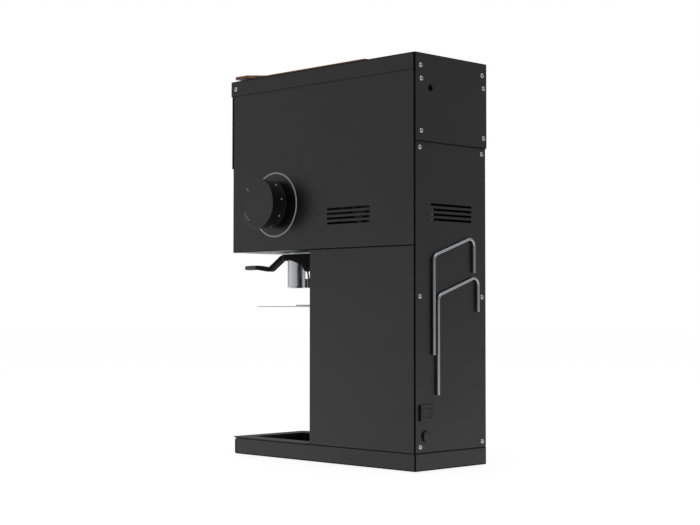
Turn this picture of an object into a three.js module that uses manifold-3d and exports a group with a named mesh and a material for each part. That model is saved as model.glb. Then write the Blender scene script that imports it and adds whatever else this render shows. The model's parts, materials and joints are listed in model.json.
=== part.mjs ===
// Bulk coffee grinder: sheet-metal column grinder with a side grind knob, bag clamp and grounds tray.
// Millimetres, +Z up. Inside the assembly x = 0 is the middle, y = 0 the rear face and -y the front.
import * as THREE from 'three';
import { mergeVertices } from 'three/addons/utils/BufferGeometryUtils.js';
import Module from 'manifold-3d';

const wasm = await Module();
wasm.setup();

// Body, the driving sizes
const bodyWidth = 175;
const headDepth = 442.5;
const columnDepth = 243;
const baseDepth = 432.5;
const bodyHeight = 665;
const headFloorHeight = 357.5;
const baseHeight = 28;
const footShow = 1.5;
const sheet = 1.5;
const fit = 0.3;
const bendRadius = 2;
const flangeWidth = 12;
const seamGap = 1;
const capSkirt = 27;
const upperRearPanel = 141;
const upperFrontHeight = 508;

// Grinding gear and drive
const grinderForward = 330;
const grinderHeight = 438;
const burrDiameter = 98;
const motorForward = 118;
const shaftDiameter = 20;

// Spout, clamp and shelf
const spoutForward = 368;
const spoutDiameter = 32;
const spoutWall = 1.5;
const spoutEndHeight = 294.6;
const shelfDrop = 32.6;

// How cuts and rounds are made
const overrun = 4;
const fineSides = 72;
const roundSides = 40;
const smallSides = 20;
const bendSteps = 4;

// Places that follow from those sizes
const halfWidth = bodyWidth / 2;
const baseZ = footShow;
const baseTopZ = baseZ + baseHeight;
const headFloorZ = baseZ + headFloorHeight;
const topZ = baseZ + bodyHeight;
const skirtZ = topZ - capSkirt;
const upperRearZ = topZ - upperRearPanel;
const upperFrontZ = baseZ + upperFrontHeight;
const grinderY = -grinderForward;
const grinderZ = baseZ + grinderHeight;
const motorY = -motorForward;
const spoutY = -spoutForward;
const spoutEndZ = baseZ + spoutEndHeight;
const shelfZ = spoutEndZ - shelfDrop;
const columnFrontY = -columnDepth;
const headFrontY = -headDepth;
const lap = sheet + fit;

const group = new THREE.Group();
const assembly = new THREE.Group();
group.add(assembly);

// Solids from three.js geometry
function toSolid(geometry) {
  const bare = geometry.index ? geometry.clone() : geometry;
  bare.deleteAttribute('normal');
  bare.deleteAttribute('uv');
  const merged = mergeVertices(bare);
  const vertProperties = new Float32Array(merged.attributes.position.array);
  const triVerts = new Uint32Array(merged.index.array);
  if (signedVolume(vertProperties, triVerts) < 0) {
    for (let i = 0; i < triVerts.length; i += 3) {
      [triVerts[i + 1], triVerts[i + 2]] = [triVerts[i + 2], triVerts[i + 1]];
    }
  }
  return new wasm.Manifold(new wasm.Mesh({ numProp: 3, vertProperties, triVerts }));
}

function signedVolume(points, faces) {
  const corner = [new THREE.Vector3(), new THREE.Vector3(), new THREE.Vector3()];
  let sum = 0;
  for (let i = 0; i < faces.length; i += 3) {
    corner.forEach((c, k) => c.fromArray(points, 3 * faces[i + k]));
    sum += corner[0].dot(corner[1].clone().cross(corner[2]));
  }
  return sum;
}

function addPiece(name, solid, look) {
  const mesh = solid.getMesh();
  const geometry = new THREE.BufferGeometry();
  geometry.setAttribute('position', new THREE.BufferAttribute(mesh.vertProperties, 3));
  geometry.setIndex(new THREE.BufferAttribute(mesh.triVerts, 1));
  geometry.computeVertexNormals();
  const piece = new THREE.Mesh(geometry, new THREE.MeshStandardMaterial(look));
  piece.name = name;
  assembly.add(piece);
  return piece;
}

function join(...solids) {
  return solids.reduce((sum, next) => sum.add(next));
}

function cut(solid, ...tools) {
  return tools.reduce((left, tool) => left.subtract(tool), solid);
}

function box(x0, x1, y0, y1, z0, z1) {
  const shape = new THREE.BoxGeometry(x1 - x0, y1 - y0, z1 - z0);
  shape.translate((x0 + x1) / 2, (y0 + y1) / 2, (z0 + z1) / 2);
  return toSolid(shape);
}

// Turns geometry made along +Z so that it runs along the named axis, keeping its handedness
function turnTo(geometry, axis) {
  const basis = new THREE.Matrix4();
  const X = new THREE.Vector3(1, 0, 0);
  const Y = new THREE.Vector3(0, 1, 0);
  const Z = new THREE.Vector3(0, 0, 1);
  if (axis === 'x') basis.makeBasis(Y, Z, X);
  if (axis === 'y') basis.makeBasis(Z, X, Y);
  geometry.applyMatrix4(basis);
  return geometry;
}

// An outline pulled along an axis: points are (x, y) along z, (y, z) along x and (x, z) along y
function prism(axis, points, from, to) {
  const flat = axis === 'y' ? points.map(([x, z]) => [z, x]) : points;
  const shape = new THREE.Shape(flat.map(([a, b]) => new THREE.Vector2(a, b)));
  const geometry = new THREE.ExtrudeGeometry(shape, { depth: to - from, bevelEnabled: false });
  geometry.translate(0, 0, from);
  return toSolid(turnTo(geometry, axis));
}

// A turned body: the profile is a list of (radius, place along the axis)
function turned(axis, profile, c1, c2, sides = roundSides) {
  const points = profile.map(([radius, along]) => new THREE.Vector2(radius, along));
  const geometry = new THREE.LatheGeometry(points, sides);
  geometry.rotateX(Math.PI / 2);
  turnTo(geometry, axis);
  const [x, y, z] = axis === 'x' ? [0, c1, c2] : axis === 'y' ? [c1, 0, c2] : [c1, c2, 0];
  geometry.translate(x, y, z);
  return toSolid(geometry);
}

function cylinder(axis, radius, from, to, c1, c2, sides = roundSides) {
  return turned(axis, [[0, from], [radius, from], [radius, to], [0, to]], c1, c2, sides);
}

function tube(axis, outer, inner, from, to, c1, c2, sides = roundSides) {
  return turned(
    axis, [[inner, from], [outer, from], [outer, to], [inner, to], [inner, from]], c1, c2, sides,
  );
}

function arc(cx, cy, radius, from, to, steps) {
  const points = [];
  for (let i = 0; i <= steps; i += 1) {
    const angle = from + (to - from) * i / steps;
    points.push([cx + radius * Math.cos(angle), cy + radius * Math.sin(angle)]);
  }
  return points;
}

function roundedRect(x0, x1, y0, y1, r, steps = bendSteps) {
  const q = Math.PI / 2;
  return [
    ...arc(x1 - r, y0 + r, r, -q, 0, steps), ...arc(x1 - r, y1 - r, r, 0, q, steps),
    ...arc(x0 + r, y1 - r, r, q, 2 * q, steps), ...arc(x0 + r, y0 + r, r, 2 * q, 3 * q, steps),
  ];
}

// A block whose upright and lower edges are bent round, its top left open to run on
function foldedBlock(x0, x1, y0, y1, z0, z1, r) {
  const plan = prism('z', roundedRect(x0, x1, y0, y1, r), z0, z1);
  const frontView = prism('y', roundedRect(x0, x1, z0, z1 + bodyHeight, r), y0, y1);
  const sideView = prism('x', roundedRect(y0, y1, z0, z1 + bodyHeight, r), x0, x1);
  return plan.intersect(frontView).intersect(sideView);
}

// A closed skin over a row of rings that all have the same number of points
function skin(rings) {
  const positions = rings.flat().flatMap((p) => p.toArray());
  const n = rings[0].length;
  const last = (rings.length - 1) * n;
  const faces = [];
  for (let i = 0; i < rings.length - 1; i += 1) {
    for (let k = 0; k < n; k += 1) {
      const a = i * n + k;
      const b = i * n + (k + 1) % n;
      faces.push(a, b, b + n, a, b + n, a + n);
    }
  }
  for (let k = 1; k < n - 1; k += 1) {
    faces.push(0, k + 1, k, last, last + k, last + k + 1);
  }
  const geometry = new THREE.BufferGeometry();
  geometry.setAttribute('position', new THREE.BufferAttribute(new Float32Array(positions), 3));
  geometry.setIndex(faces);
  return toSolid(geometry);
}

// A closed block between two level rectangles, for funnels
function frustum(low, high, z0, z1) {
  const corners = ([x0, x1, y0, y1]) => [[x0, y0], [x1, y0], [x1, y1], [x0, y1]];
  const ring = (sides, z) => corners(sides).map(([x, y]) => new THREE.Vector3(x, y, z));
  return skin([ring(low, z0), ring(high, z1)]);
}

// A section swept along points that lie across one fixed direction
function sweep(points, side, section) {
  const path = points.map((p) => new THREE.Vector3(...p));
  const across = new THREE.Vector3(...side).normalize();
  const rings = path.map((p, i) => {
    const before = path[Math.max(i - 1, 0)];
    const after = path[Math.min(i + 1, path.length - 1)];
    const normal = across.clone().cross(after.clone().sub(before)).normalize();
    return section.map(([u, v]) => p.clone().addScaledVector(normal, u).addScaledVector(across, v));
  });
  return skin(rings);
}

function circle(radius, sides) {
  return arc(0, 0, radius, 0, 2 * Math.PI * (sides - 1) / sides, sides - 1);
}

// A flat path through corner points in a plane, each inner corner bent to the radius
function bentPath(corners, radius, steps) {
  const at = corners.map(([a, b]) => new THREE.Vector2(a, b));
  const points = [at[0]];
  for (let i = 1; i < at.length - 1; i += 1) {
    const back = at[i - 1].clone().sub(at[i]).normalize();
    const ahead = at[i + 1].clone().sub(at[i]).normalize();
    const half = Math.acos(back.dot(ahead)) / 2;
    const reach = radius / Math.tan(half);
    const start = at[i].clone().addScaledVector(back, reach);
    const end = at[i].clone().addScaledVector(ahead, reach);
    const toCentre = back.clone().add(ahead).normalize();
    const centre = at[i].clone().addScaledVector(toCentre, radius / Math.sin(half));
    const from = start.clone().sub(centre).angle();
    let turn = end.clone().sub(centre).angle() - from;
    if (turn > Math.PI) turn -= 2 * Math.PI;
    if (turn < -Math.PI) turn += 2 * Math.PI;
    for (let k = 0; k <= steps; k += 1) {
      const angle = from + turn * k / steps;
      points.push(new THREE.Vector2(Math.cos(angle), Math.sin(angle)).multiplyScalar(radius).add(centre));
    }
  }
  points.push(at[at.length - 1]);
  return points.map((p) => [p.x, p.y]);
}

// Looks
const blackPaint = { color: 0x15161a, roughness: 0.4, metalness: 0 };
const innerSteel = { color: 0x9a9c9e, roughness: 0.45, metalness: 1 };
const polishedSteel = { color: 0xc8cacc, roughness: 0.15, metalness: 1 };
const castAlloy = { color: 0x8d9093, roughness: 0.6, metalness: 1 };
const blackPlastic = { color: 0x101113, roughness: 0.45, metalness: 0 };
const blackRubber = { color: 0x121212, roughness: 0.9, metalness: 0 };
const brownWood = { color: 0x8a5530, roughness: 0.55, metalness: 0 };
const burrSteel = { color: 0x6f7072, roughness: 0.3, metalness: 1 };

// Base pan and feet
const baseFloor = 1.5;
const baseSideRim = 23;
const baseCrossBar = 16;
const footDiameter = 30;
const footStem = 12;
const footStemRise = 4;
const footInset = 30;

function basePan() {
  const outer = foldedBlock(-halfWidth, halfWidth, -baseDepth, 0, baseZ, baseTopZ, bendRadius);
  const cavity = box(
    -halfWidth + sheet, halfWidth - sheet, -baseDepth + sheet, -sheet, baseZ + baseFloor,
    baseTopZ - sheet,
  );
  const barFront = columnFrontY - baseCrossBar / 2;
  const barRear = columnFrontY + baseCrossBar / 2;
  const rearHole = box(
    -halfWidth + flangeWidth, halfWidth - flangeWidth, barRear, -flangeWidth, baseZ + baseHeight / 2,
    baseTopZ + overrun,
  );
  const frontHole = box(
    -halfWidth + baseSideRim, halfWidth - baseSideRim, -baseDepth + flangeWidth, barFront,
    baseZ + baseHeight / 2, baseTopZ + overrun,
  );
  const stems = footPlaces().map(([x, y]) => cylinder(
    'z', footStem / 2 + fit, 0, baseZ + baseFloor + overrun, x, y, smallSides,
  ));
  return cut(outer, cavity, rearHole, frontHole, ...stems);
}

function footPlaces() {
  const x = halfWidth - footInset;
  return [[x, -footInset], [-x, -footInset], [x, footInset - baseDepth], [-x, footInset - baseDepth]];
}

function foot(x, y) {
  const pad = footShow - fit;
  const profile = [
    [0, 0], [footDiameter / 2 - pad, 0], [footDiameter / 2, pad], [footStem / 2, pad],
    [footStem / 2, baseZ + footStemRise], [0, baseZ + footStemRise],
  ];
  return turned('z', profile, x, y, smallSides);
}

addPiece('base_pan', basePan(), blackPaint);
footPlaces().forEach(([x, y], i) => addPiece(`foot_${i + 1}`, foot(x, y), blackRubber));

// Grounds tray: a flanged well that drops into the base, with a finger lip in front
const trayFlange = 1.8;
const traySideRim = 26;
const trayFrontRim = 28;
const trayRearRim = 8;
const trayLip = 9.5;
const trayHem = 3.2;
const trayHemDepth = 3;
const trayWall = 1.2;
const trayDepth = 23;
const trayCornerRadius = 8;
const trayWellRadius = 10;
const trayRearGap = 0.8;
const trayBottomZ = baseTopZ + fit - trayDepth;
const trayTopZ = baseTopZ + fit + trayFlange;
const trayFrontY = -baseDepth - trayLip;
const trayRearY = columnFrontY - trayRearGap;

function trayWell(grow, floorZ, topZ2) {
  const x = halfWidth - traySideRim + grow;
  const y0 = trayFrontY + trayFrontRim - grow;
  const y1 = trayRearY - trayRearRim + grow;
  return prism('z', roundedRect(-x, x, y0, y1, trayWellRadius + grow), floorZ, topZ2);
}

function groundsTray() {
  const flange = prism(
    'z', roundedRect(-halfWidth, halfWidth, trayFrontY, trayRearY, trayCornerRadius), baseTopZ + fit,
    trayTopZ,
  );
  const hem = box(
    -halfWidth + trayCornerRadius, halfWidth - trayCornerRadius, trayFrontY, trayFrontY + trayHemDepth,
    trayTopZ - trayHem, trayTopZ,
  );
  const well = trayWell(0, trayBottomZ, trayTopZ);
  const hollow = trayWell(-trayWall, trayBottomZ + trayWall, trayTopZ + overrun);
  return cut(join(flange, hem, well), hollow);
}

addPiece('grounds_tray', groundsTray(), blackPaint);

// Column shell: two folded sides, a slotted front panel and the rear panel that runs up behind the head
const shelfSlotWidth = 8;
const shelfSlotSpacing = 70;
const shelfSlotLowShare = 0.28;
const shelfSlotHighShare = 0.86;
const columnBottomZ = baseTopZ + seamGap;
const columnTopZ = headFloorZ - seamGap;
const shelfSlotLowZ = columnBottomZ + (columnTopZ - columnBottomZ) * shelfSlotLowShare;
const shelfSlotHighZ = columnBottomZ + (columnTopZ - columnBottomZ) * shelfSlotHighShare;

// Keeps only the part of a shell that lies on one side, out to the flanges' inner edges
function sideOf(shell, side) {
  const inner = halfWidth - flangeWidth;
  const outer = bodyWidth;
  const keep = side > 0 ? [inner, outer] : [-outer, -inner];
  return shell.intersect(box(...keep, -2 * headDepth, headDepth, 0, 2 * bodyHeight));
}

function columnShell() {
  const outer = prism(
    'z', roundedRect(-halfWidth, halfWidth, columnFrontY + lap, -lap, bendRadius), columnBottomZ,
    columnTopZ,
  );
  const inner = prism(
    'z',
    roundedRect(
      -halfWidth + sheet, halfWidth - sheet, columnFrontY + lap + sheet, -lap - sheet,
      bendRadius - sheet,
    ),
    columnBottomZ - overrun, columnTopZ + overrun,
  );
  return cut(outer, inner);
}

function columnFrontPanel() {
  const plate = box(
    -halfWidth + sheet, halfWidth - sheet, columnFrontY, columnFrontY + sheet, columnBottomZ,
    columnTopZ,
  );
  const slots = [-1, 1].map((side) => {
    const x = side * shelfSlotSpacing / 2;
    const outline = roundedRect(
      x - shelfSlotWidth / 2, x + shelfSlotWidth / 2, shelfSlotLowZ, shelfSlotHighZ,
      shelfSlotWidth / 2 - fit,
    );
    return prism('y', outline, columnFrontY - overrun, columnFrontY + overrun);
  });
  return cut(plate, ...slots);
}

addPiece('column_side_right', sideOf(columnShell(), 1), blackPaint);
addPiece('column_side_left', sideOf(columnShell(), -1), blackPaint);
addPiece('column_front_panel', columnFrontPanel(), blackPaint);

// Vents, four slots on each side and at the rear
const ventLength = 100;
const ventSlot = 3.3;
const ventPitch = 7.9;
const ventCount = 4;
const ventHeight = 399.9;
const ventForward = 149.5;

function ventOutlines(centre) {
  const outlines = [];
  for (let i = 0; i < ventCount; i += 1) {
    const z = baseZ + ventHeight + i * ventPitch;
    outlines.push(roundedRect(
      centre - ventLength / 2, centre + ventLength / 2, z - ventSlot / 2, z + ventSlot / 2,
      ventSlot / 2 - fit / 2,
    ));
  }
  return outlines;
}

// Rear fittings, places from the middle of the panel and above the base
const switchOffset = 62;
const switchHeight = 92;
const switchWidth = 33;
const switchTall = 25.5;
const switchProud = 6;
const switchRim = 3.5;
const switchBodyDepth = 24;
const glandOffset = 62.6;
const glandHeight = 54;
const glandDiameter = 19.5;
const glandProud = 6.5;
const glandThread = 16;
const glandLength = 22;
const glandNutDiameter = 22;
const glandNutThick = 5;
const resetOffset = 52.5;
const resetDrop = 54.6;
const resetHoleDiameter = 11;
const resetZ = topZ - resetDrop;

function rearPanelLower() {
  const plate = box(-halfWidth + sheet, halfWidth - sheet, -sheet, 0, baseTopZ + sheet, skirtZ - lap);
  const vents = ventOutlines(0).map((outline) => prism('y', outline, -overrun, overrun));
  const halfW = switchWidth / 2 - switchRim + fit;
  const halfT = switchTall / 2 - switchRim + fit;
  const z = baseZ + switchHeight;
  const switchHole = box(
    switchOffset - halfW, switchOffset + halfW, -overrun, overrun, z - halfT, z + halfT,
  );
  const glandHole = cylinder(
    'y', glandThread / 2 + fit, -overrun, overrun, glandOffset, baseZ + glandHeight, smallSides,
  );
  const resetHole = cylinder(
    'y', resetHoleDiameter / 2, -overrun, overrun, resetOffset, resetZ, smallSides,
  );
  return cut(plate, ...vents, switchHole, glandHole, resetHole);
}

function rearPanelUpper() {
  const plate = prism(
    'x', roundedRect(fit, fit + sheet, upperRearZ, topZ - fit, sheet / 4), -halfWidth, halfWidth,
  );
  const resetHole = cylinder(
    'y', resetHoleDiameter / 2, -overrun, overrun, resetOffset, resetZ, smallSides,
  );
  return cut(plate, resetHole);
}

addPiece('rear_panel_lower', rearPanelLower(), blackPaint);
addPiece('rear_panel_upper', rearPanelUpper(), blackPaint);

// Main frame sizes, which the head's floor follows
const deckThickness = 4;
const deckHalfWidth = 80;
const deckFront = 430;
const deckRear = 8;
const postSize = 18;
const postOutside = 74;
const postRear = 40;
const postFront = 229;
const wellHalfWidth = 48;
const wellRear = 40;
const wellFront = 205;

// Head shell: two folded sides, front panels, floor plate and cap
const collarHoleDiameter = 40;
const headShellTopZ = topZ - lap - sheet;
const startDrop = 38;
const startHoleDiameter = 22;
const spoutHoleGap = 1;
const mouthWidth = 100;
const mouthRear = 146;
const mouthFront = 392;

function headShell() {
  const outer = foldedBlock(
    -halfWidth, halfWidth, headFrontY + lap, -lap, headFloorZ, headShellTopZ, bendRadius,
  );
  const inner = foldedBlock(
    -halfWidth + sheet, halfWidth - sheet, headFrontY + lap + sheet, -lap - sheet, headFloorZ + sheet,
    headShellTopZ + overrun, bendRadius - sheet,
  );
  const overColumn = box(
    -halfWidth + sheet, halfWidth - sheet, columnFrontY + lap, -lap - sheet, headFloorZ - overrun,
    headFloorZ + sheet + fit,
  );
  const vents = ventOutlines(-ventForward).map((outline) => prism('x', outline, -bodyWidth, bodyWidth));
  return cut(outer, inner, overColumn, ...vents);
}

function headFrontLower() {
  const plate = box(
    -halfWidth + sheet, halfWidth - sheet, headFrontY, headFrontY + sheet, headFloorZ, skirtZ - lap,
  );
  return cut(
    plate,
    cylinder(
      'y', startHoleDiameter / 2 + fit, headFrontY - overrun, headFrontY + overrun, 0,
      upperFrontZ - startDrop,
    ),
  );
}

function headFrontUpper() {
  const outline = roundedRect(headFrontY - lap, headFrontY - fit, upperFrontZ, topZ - lap, sheet / 4);
  return prism('x', outline, -halfWidth, halfWidth);
}

function headFloorPlate() {
  const x = halfWidth - flangeWidth - seamGap / 2;
  const y1 = -postFront - seamGap;
  const plate = box(-x, x, headFrontY + lap, y1, headFloorZ, headFloorZ + sheet);
  return cut(
    plate,
    cylinder('z', spoutDiameter / 2 + spoutHoleGap, headFloorZ - overrun, headFloorZ + overrun, 0, spoutY),
  );
}

function topCap() {
  const x = halfWidth + lap;
  const y0 = headFrontY - lap - lap;
  const outer = foldedBlock(-x, x, y0, 0, -topZ, -skirtZ, bendRadius);
  const block = flipUp(outer);
  const hollow = flipUp(foldedBlock(
    -x + sheet, x - sheet, y0 + sheet, -sheet, -topZ + sheet, overrun - skirtZ, bendRadius - sheet,
  ));
  const mouth = box(-mouthWidth / 2, mouthWidth / 2, -mouthFront, -mouthRear, skirtZ, topZ + overrun);
  return cut(block, hollow, mouth);
}

// Turns a block that was folded upside down the right way up
function flipUp(solid) {
  const mesh = solid.getMesh();
  const points = new Float32Array(mesh.vertProperties);
  for (let i = 2; i < points.length; i += 3) points[i] = -points[i];
  const geometry = new THREE.BufferGeometry();
  geometry.setAttribute('position', new THREE.BufferAttribute(points, 3));
  geometry.setIndex(new THREE.BufferAttribute(new Uint32Array(mesh.triVerts), 1));
  return toSolid(geometry);
}

const collarHole = cylinder('x', collarHoleDiameter / 2 + fit, 0, bodyWidth, grinderY, grinderZ);
addPiece('head_side_right', cut(sideOf(headShell(), 1), collarHole), blackPaint);
addPiece('head_side_left', sideOf(headShell(), -1), blackPaint);
addPiece('head_front_lower', headFrontLower(), blackPaint);
addPiece('head_front_upper', headFrontUpper(), blackPaint);
addPiece('head_floor_plate', headFloorPlate(), blackPaint);
addPiece('top_cap', topCap(), blackPaint);

// Hopper: straight walls under the mouth, then a funnel to the grinder's inlet
const hopperRimRise = 4.8;
const hopperRimWidth = 6;
const hopperWall = 1.2;
const hopperStraightShare = 0.42;
const inletLength = 26;
const inletWidth = 44;
const inletMiddle = -25;
const housingRadius = 66;
const inletRise = 12;
const hopperThroatRise = 14;
const hopperTopZ = topZ + hopperRimRise;
const throatZ = grinderZ + housingRadius + inletRise + fit;

function hopperBody(grow) {
  const x = mouthWidth / 2 - fit - hopperWall + grow;
  const mouth = [-x, x, -mouthFront + fit + hopperWall - grow, -mouthRear - fit - hopperWall + grow];
  const half = inletWidth / 2 - hopperWall + grow;
  const throat = [
    inletMiddle - inletLength / 2 + hopperWall - grow,
    inletMiddle + inletLength / 2 - hopperWall + grow, grinderY - half, grinderY + half,
  ];
  const straightZ = topZ - (topZ - throatZ) * hopperStraightShare;
  const run = grow > 0 ? 0 : overrun;
  const walls = frustum(mouth, mouth, straightZ, hopperTopZ + run);
  const funnel = frustum(throat, mouth, throatZ + hopperThroatRise, straightZ);
  const neck = frustum(throat, throat, throatZ - run, throatZ + hopperThroatRise);
  return join(walls, funnel, neck);
}

function beanHopper() {
  const x = mouthWidth / 2 + hopperRimWidth;
  const rim = box(
    -x, x, -mouthFront - hopperRimWidth, -mouthRear + hopperRimWidth, topZ + fit, topZ + fit + sheet,
  );
  return cut(join(hopperBody(hopperWall), rim), hopperBody(0));
}

addPiece('bean_hopper', beanHopper(), innerSteel);

// Wood lid: a board with a wide front grip, stepped below to drop into the hopper's mouth
const lidThickness = 5;
const lidPlugDepth = 8;
const lidPlugGap = 1.5;
const lidHalfWidth = 55;
const lidGripHalfWidth = 80;
const lidFront = 446;
const lidRear = 143;
const lidGripDepth = 31;
const lidCornerRadius = 3;
const lidBottomZ = hopperTopZ + fit;

function lidOutline() {
  const slope = lidGripHalfWidth - lidHalfWidth;
  const gripY = -lidFront + lidGripDepth;
  const corner = (x, y, from) => arc(x, y, lidCornerRadius, from, from + Math.PI / 2, bendSteps);
  return [
    ...corner(lidGripHalfWidth - lidCornerRadius, -lidFront + lidCornerRadius, -Math.PI / 2),
    [lidGripHalfWidth, gripY],
    [lidHalfWidth, gripY + slope],
    ...corner(lidHalfWidth - lidCornerRadius, -lidRear - lidCornerRadius, 0),
    ...corner(-lidHalfWidth + lidCornerRadius, -lidRear - lidCornerRadius, Math.PI / 2),
    [-lidHalfWidth, gripY + slope],
    [-lidGripHalfWidth, gripY],
    ...corner(-lidGripHalfWidth + lidCornerRadius, -lidFront + lidCornerRadius, Math.PI),
  ];
}

function woodLid() {
  const board = prism('z', lidOutline(), lidBottomZ, lidBottomZ + lidThickness);
  const edge = fit + hopperWall + lidPlugGap;
  const x = mouthWidth / 2 - edge;
  const plug = box(
    -x, x, -mouthFront + edge, -mouthRear - edge, lidBottomZ - lidPlugDepth,
    lidBottomZ + lidThickness / 2,
  );
  return join(board, plug);
}

addPiece('wood_lid', woodLid(), brownWood);

// Main frame: a deck over the head's floor on four posts that stand in the base
const deckBottomZ = headFloorZ + lap;
const deckTopZ = deckBottomZ + deckThickness;

function mainFrame() {
  const deck = box(-deckHalfWidth, deckHalfWidth, -deckFront, -deckRear, deckBottomZ, deckTopZ);
  const well = box(
    -wellHalfWidth, wellHalfWidth, -wellFront, -wellRear, deckBottomZ - overrun, deckTopZ + overrun,
  );
  const spoutHole = cylinder(
    'z', spoutDiameter / 2 + spoutHoleGap, deckBottomZ - overrun, deckTopZ + overrun, 0, spoutY,
  );
  const posts = [];
  [-1, 1].forEach((side) => {
    [-postRear, postSize - postFront].forEach((y) => {
      const outer = side * postOutside;
      const inner = side * (postOutside - postSize);
      posts.push(box(
        Math.min(inner, outer), Math.max(inner, outer), y - postSize, y, baseZ + baseFloor + fit,
        deckBottomZ + deckThickness / 2,
      ));
    });
  });
  return cut(join(deck, ...posts), well, spoutHole);
}

addPiece('main_frame', mainFrame(), innerSteel);

// Burr housing: a round casting on a foot, open to the hopper above and the spout below
const housingLeft = -40;
const housingRight = 36;
const neckLeft = -70;
const neckRadius = 30;
const chamberRadius = 56;
const chamberLeft = -10;
const feedRadius = 26;
const feedEndWall = 4;
const bearingRadius = 21;
const bearingWidth = 12;
const bearingLip = 2;
const housingFootFront = 392;
const housingFootRear = 285;
const housingFootRise = 40;
const outletHalf = 12;
const outletLeft = -8;
const spoutSeatDepth = 9;
const coverThickness = 10;
const guideRadius = 30;
const chimneyWall = 4;

function burrHousing() {
  const barrel = cylinder('x', housingRadius, housingLeft, housingRight, grinderY, grinderZ, fineSides);
  const neck = cylinder('x', neckRadius, neckLeft, housingLeft + overrun, grinderY, grinderZ);
  const foot = box(
    housingLeft, housingRight, -housingFootFront, -housingFootRear, deckTopZ + fit,
    deckTopZ + housingFootRise,
  );
  const cx = inletLength / 2 + chimneyWall;
  const cy = inletWidth / 2 + chimneyWall;
  const chimney = box(
    inletMiddle - cx, inletMiddle + cx, grinderY - cy, grinderY + cy, grinderZ, throatZ - fit,
  );
  const chamber = cylinder('x', chamberRadius, chamberLeft, housingRight + overrun, grinderY, grinderZ);
  const feed = cylinder(
    'x', feedRadius, housingLeft + feedEndWall, chamberLeft + overrun, grinderY, grinderZ,
  );
  const inletEnd = inletMiddle + inletLength / 2 - chimneyWall;
  const inletStart = inletMiddle - inletLength / 2 + chimneyWall;
  const inlet = box(
    inletStart, inletEnd, grinderY - inletWidth / 2, grinderY + inletWidth / 2, grinderZ,
    throatZ + overrun,
  );
  const bearings = cylinder(
    'x', bearingRadius + fit, neckLeft - overrun, neckLeft + bearingWidth + fit, grinderY, grinderZ,
  );
  const shaftWay = cylinder(
    'x', shaftDiameter / 2 + bearingLip, neckLeft - overrun, housingRight, grinderY, grinderZ,
    smallSides,
  );
  const outlet = box(outletLeft, outletHalf, spoutY - outletHalf, spoutY + outletHalf, deckTopZ, grinderZ);
  const seat = cylinder(
    'z', spoutDiameter / 2 + fit, deckTopZ - overrun, deckTopZ + spoutSeatDepth, 0, spoutY,
  );
  return cut(join(barrel, neck, foot, chimney), chamber, feed, inlet, bearings, shaftWay, outlet, seat);
}

function chamberCover() {
  const from = housingRight + fit;
  return tube('x', housingRadius, guideRadius + fit, from, from + coverThickness, grinderY, grinderZ);
}

addPiece('burr_housing', burrHousing(), castAlloy);
addPiece('chamber_cover', chamberCover(), castAlloy);

// Burrs, shaft and the sleeve that sets their gap
const burrThickness = 10;
const burrHole = 40;
const burrSlots = 12;
const burrSlotWidth = 4;
const burrSlotDepth = 2.5;
const burrGap = 1.5;
const hubRadius = 46;
const hubThickness = 6;
const sleeveRunGap = 3;
const shaftEndGap = 2;
const shaftLeft = -84;
const augerTurns = 1.5;
const augerRadius = 22;
const augerThickness = 3;
const augerCore = 13;
const threadRadius = 6;
const fixedLeft = chamberLeft + fit;
const fixedRight = fixedLeft + burrThickness;
const rotatingLeft = fixedRight + burrGap;
const rotatingRight = rotatingLeft + burrThickness;
const hubLeft = rotatingRight + fit;
const hubRight = hubLeft + hubThickness;
const sleeveLeft = hubRight + sleeveRunGap;
const sleeveRight = housingRight + coverThickness;
const shaftRight = sleeveLeft + bearingWidth + shaftEndGap;

function burrRing(from, to, face) {
  const ring = tube('x', burrDiameter / 2, burrHole / 2, from, to, grinderY, grinderZ);
  const slots = [];
  for (let i = 0; i < burrSlots; i += 1) {
    const angle = 2 * Math.PI * i / burrSlots;
    const groove = new THREE.BoxGeometry(2 * burrSlotDepth, burrDiameter, burrSlotWidth);
    groove.translate(0, burrDiameter / 2 + burrHole / 2 - burrSlotWidth, 0);
    groove.rotateX(angle);
    groove.translate(face, grinderY, grinderZ);
    slots.push(toSolid(groove));
  }
  return cut(ring, ...slots);
}

function burrShaft() {
  const r = shaftDiameter / 2;
  const profile = [
    [0, shaftLeft], [r, shaftLeft], [r, hubLeft], [hubRadius, hubLeft], [hubRadius, hubRight],
    [r, hubRight], [r, shaftRight], [0, shaftRight],
  ];
  return turned('x', profile, grinderY, grinderZ);
}

// The feed screw: a core on the shaft with one flight round it
function feedAuger() {
  const from = housingLeft + feedEndWall + augerThickness;
  const to = fixedLeft - augerThickness;
  const bore = shaftDiameter / 2 + fit;
  const core = tube(
    'x', augerCore, bore, from - augerThickness / 2, to + augerThickness / 2, grinderY, grinderZ,
    smallSides,
  );
  const steps = smallSides * augerTurns;
  const blade = (bore + augerCore) / 2;
  const rings = [];
  for (let i = 0; i <= steps; i += 1) {
    const angle = 2 * Math.PI * augerTurns * i / steps;
    const x = from + (to - from) * i / steps;
    const section = [[-1, blade], [1, blade], [1, augerRadius], [-1, augerRadius]];
    rings.push(section.map(([side, radius]) => new THREE.Vector3(
      x + side * augerThickness / 2,
      grinderY + radius * Math.cos(angle),
      grinderZ + radius * Math.sin(angle),
    )));
  }
  return core.add(skin(rings));
}

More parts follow.
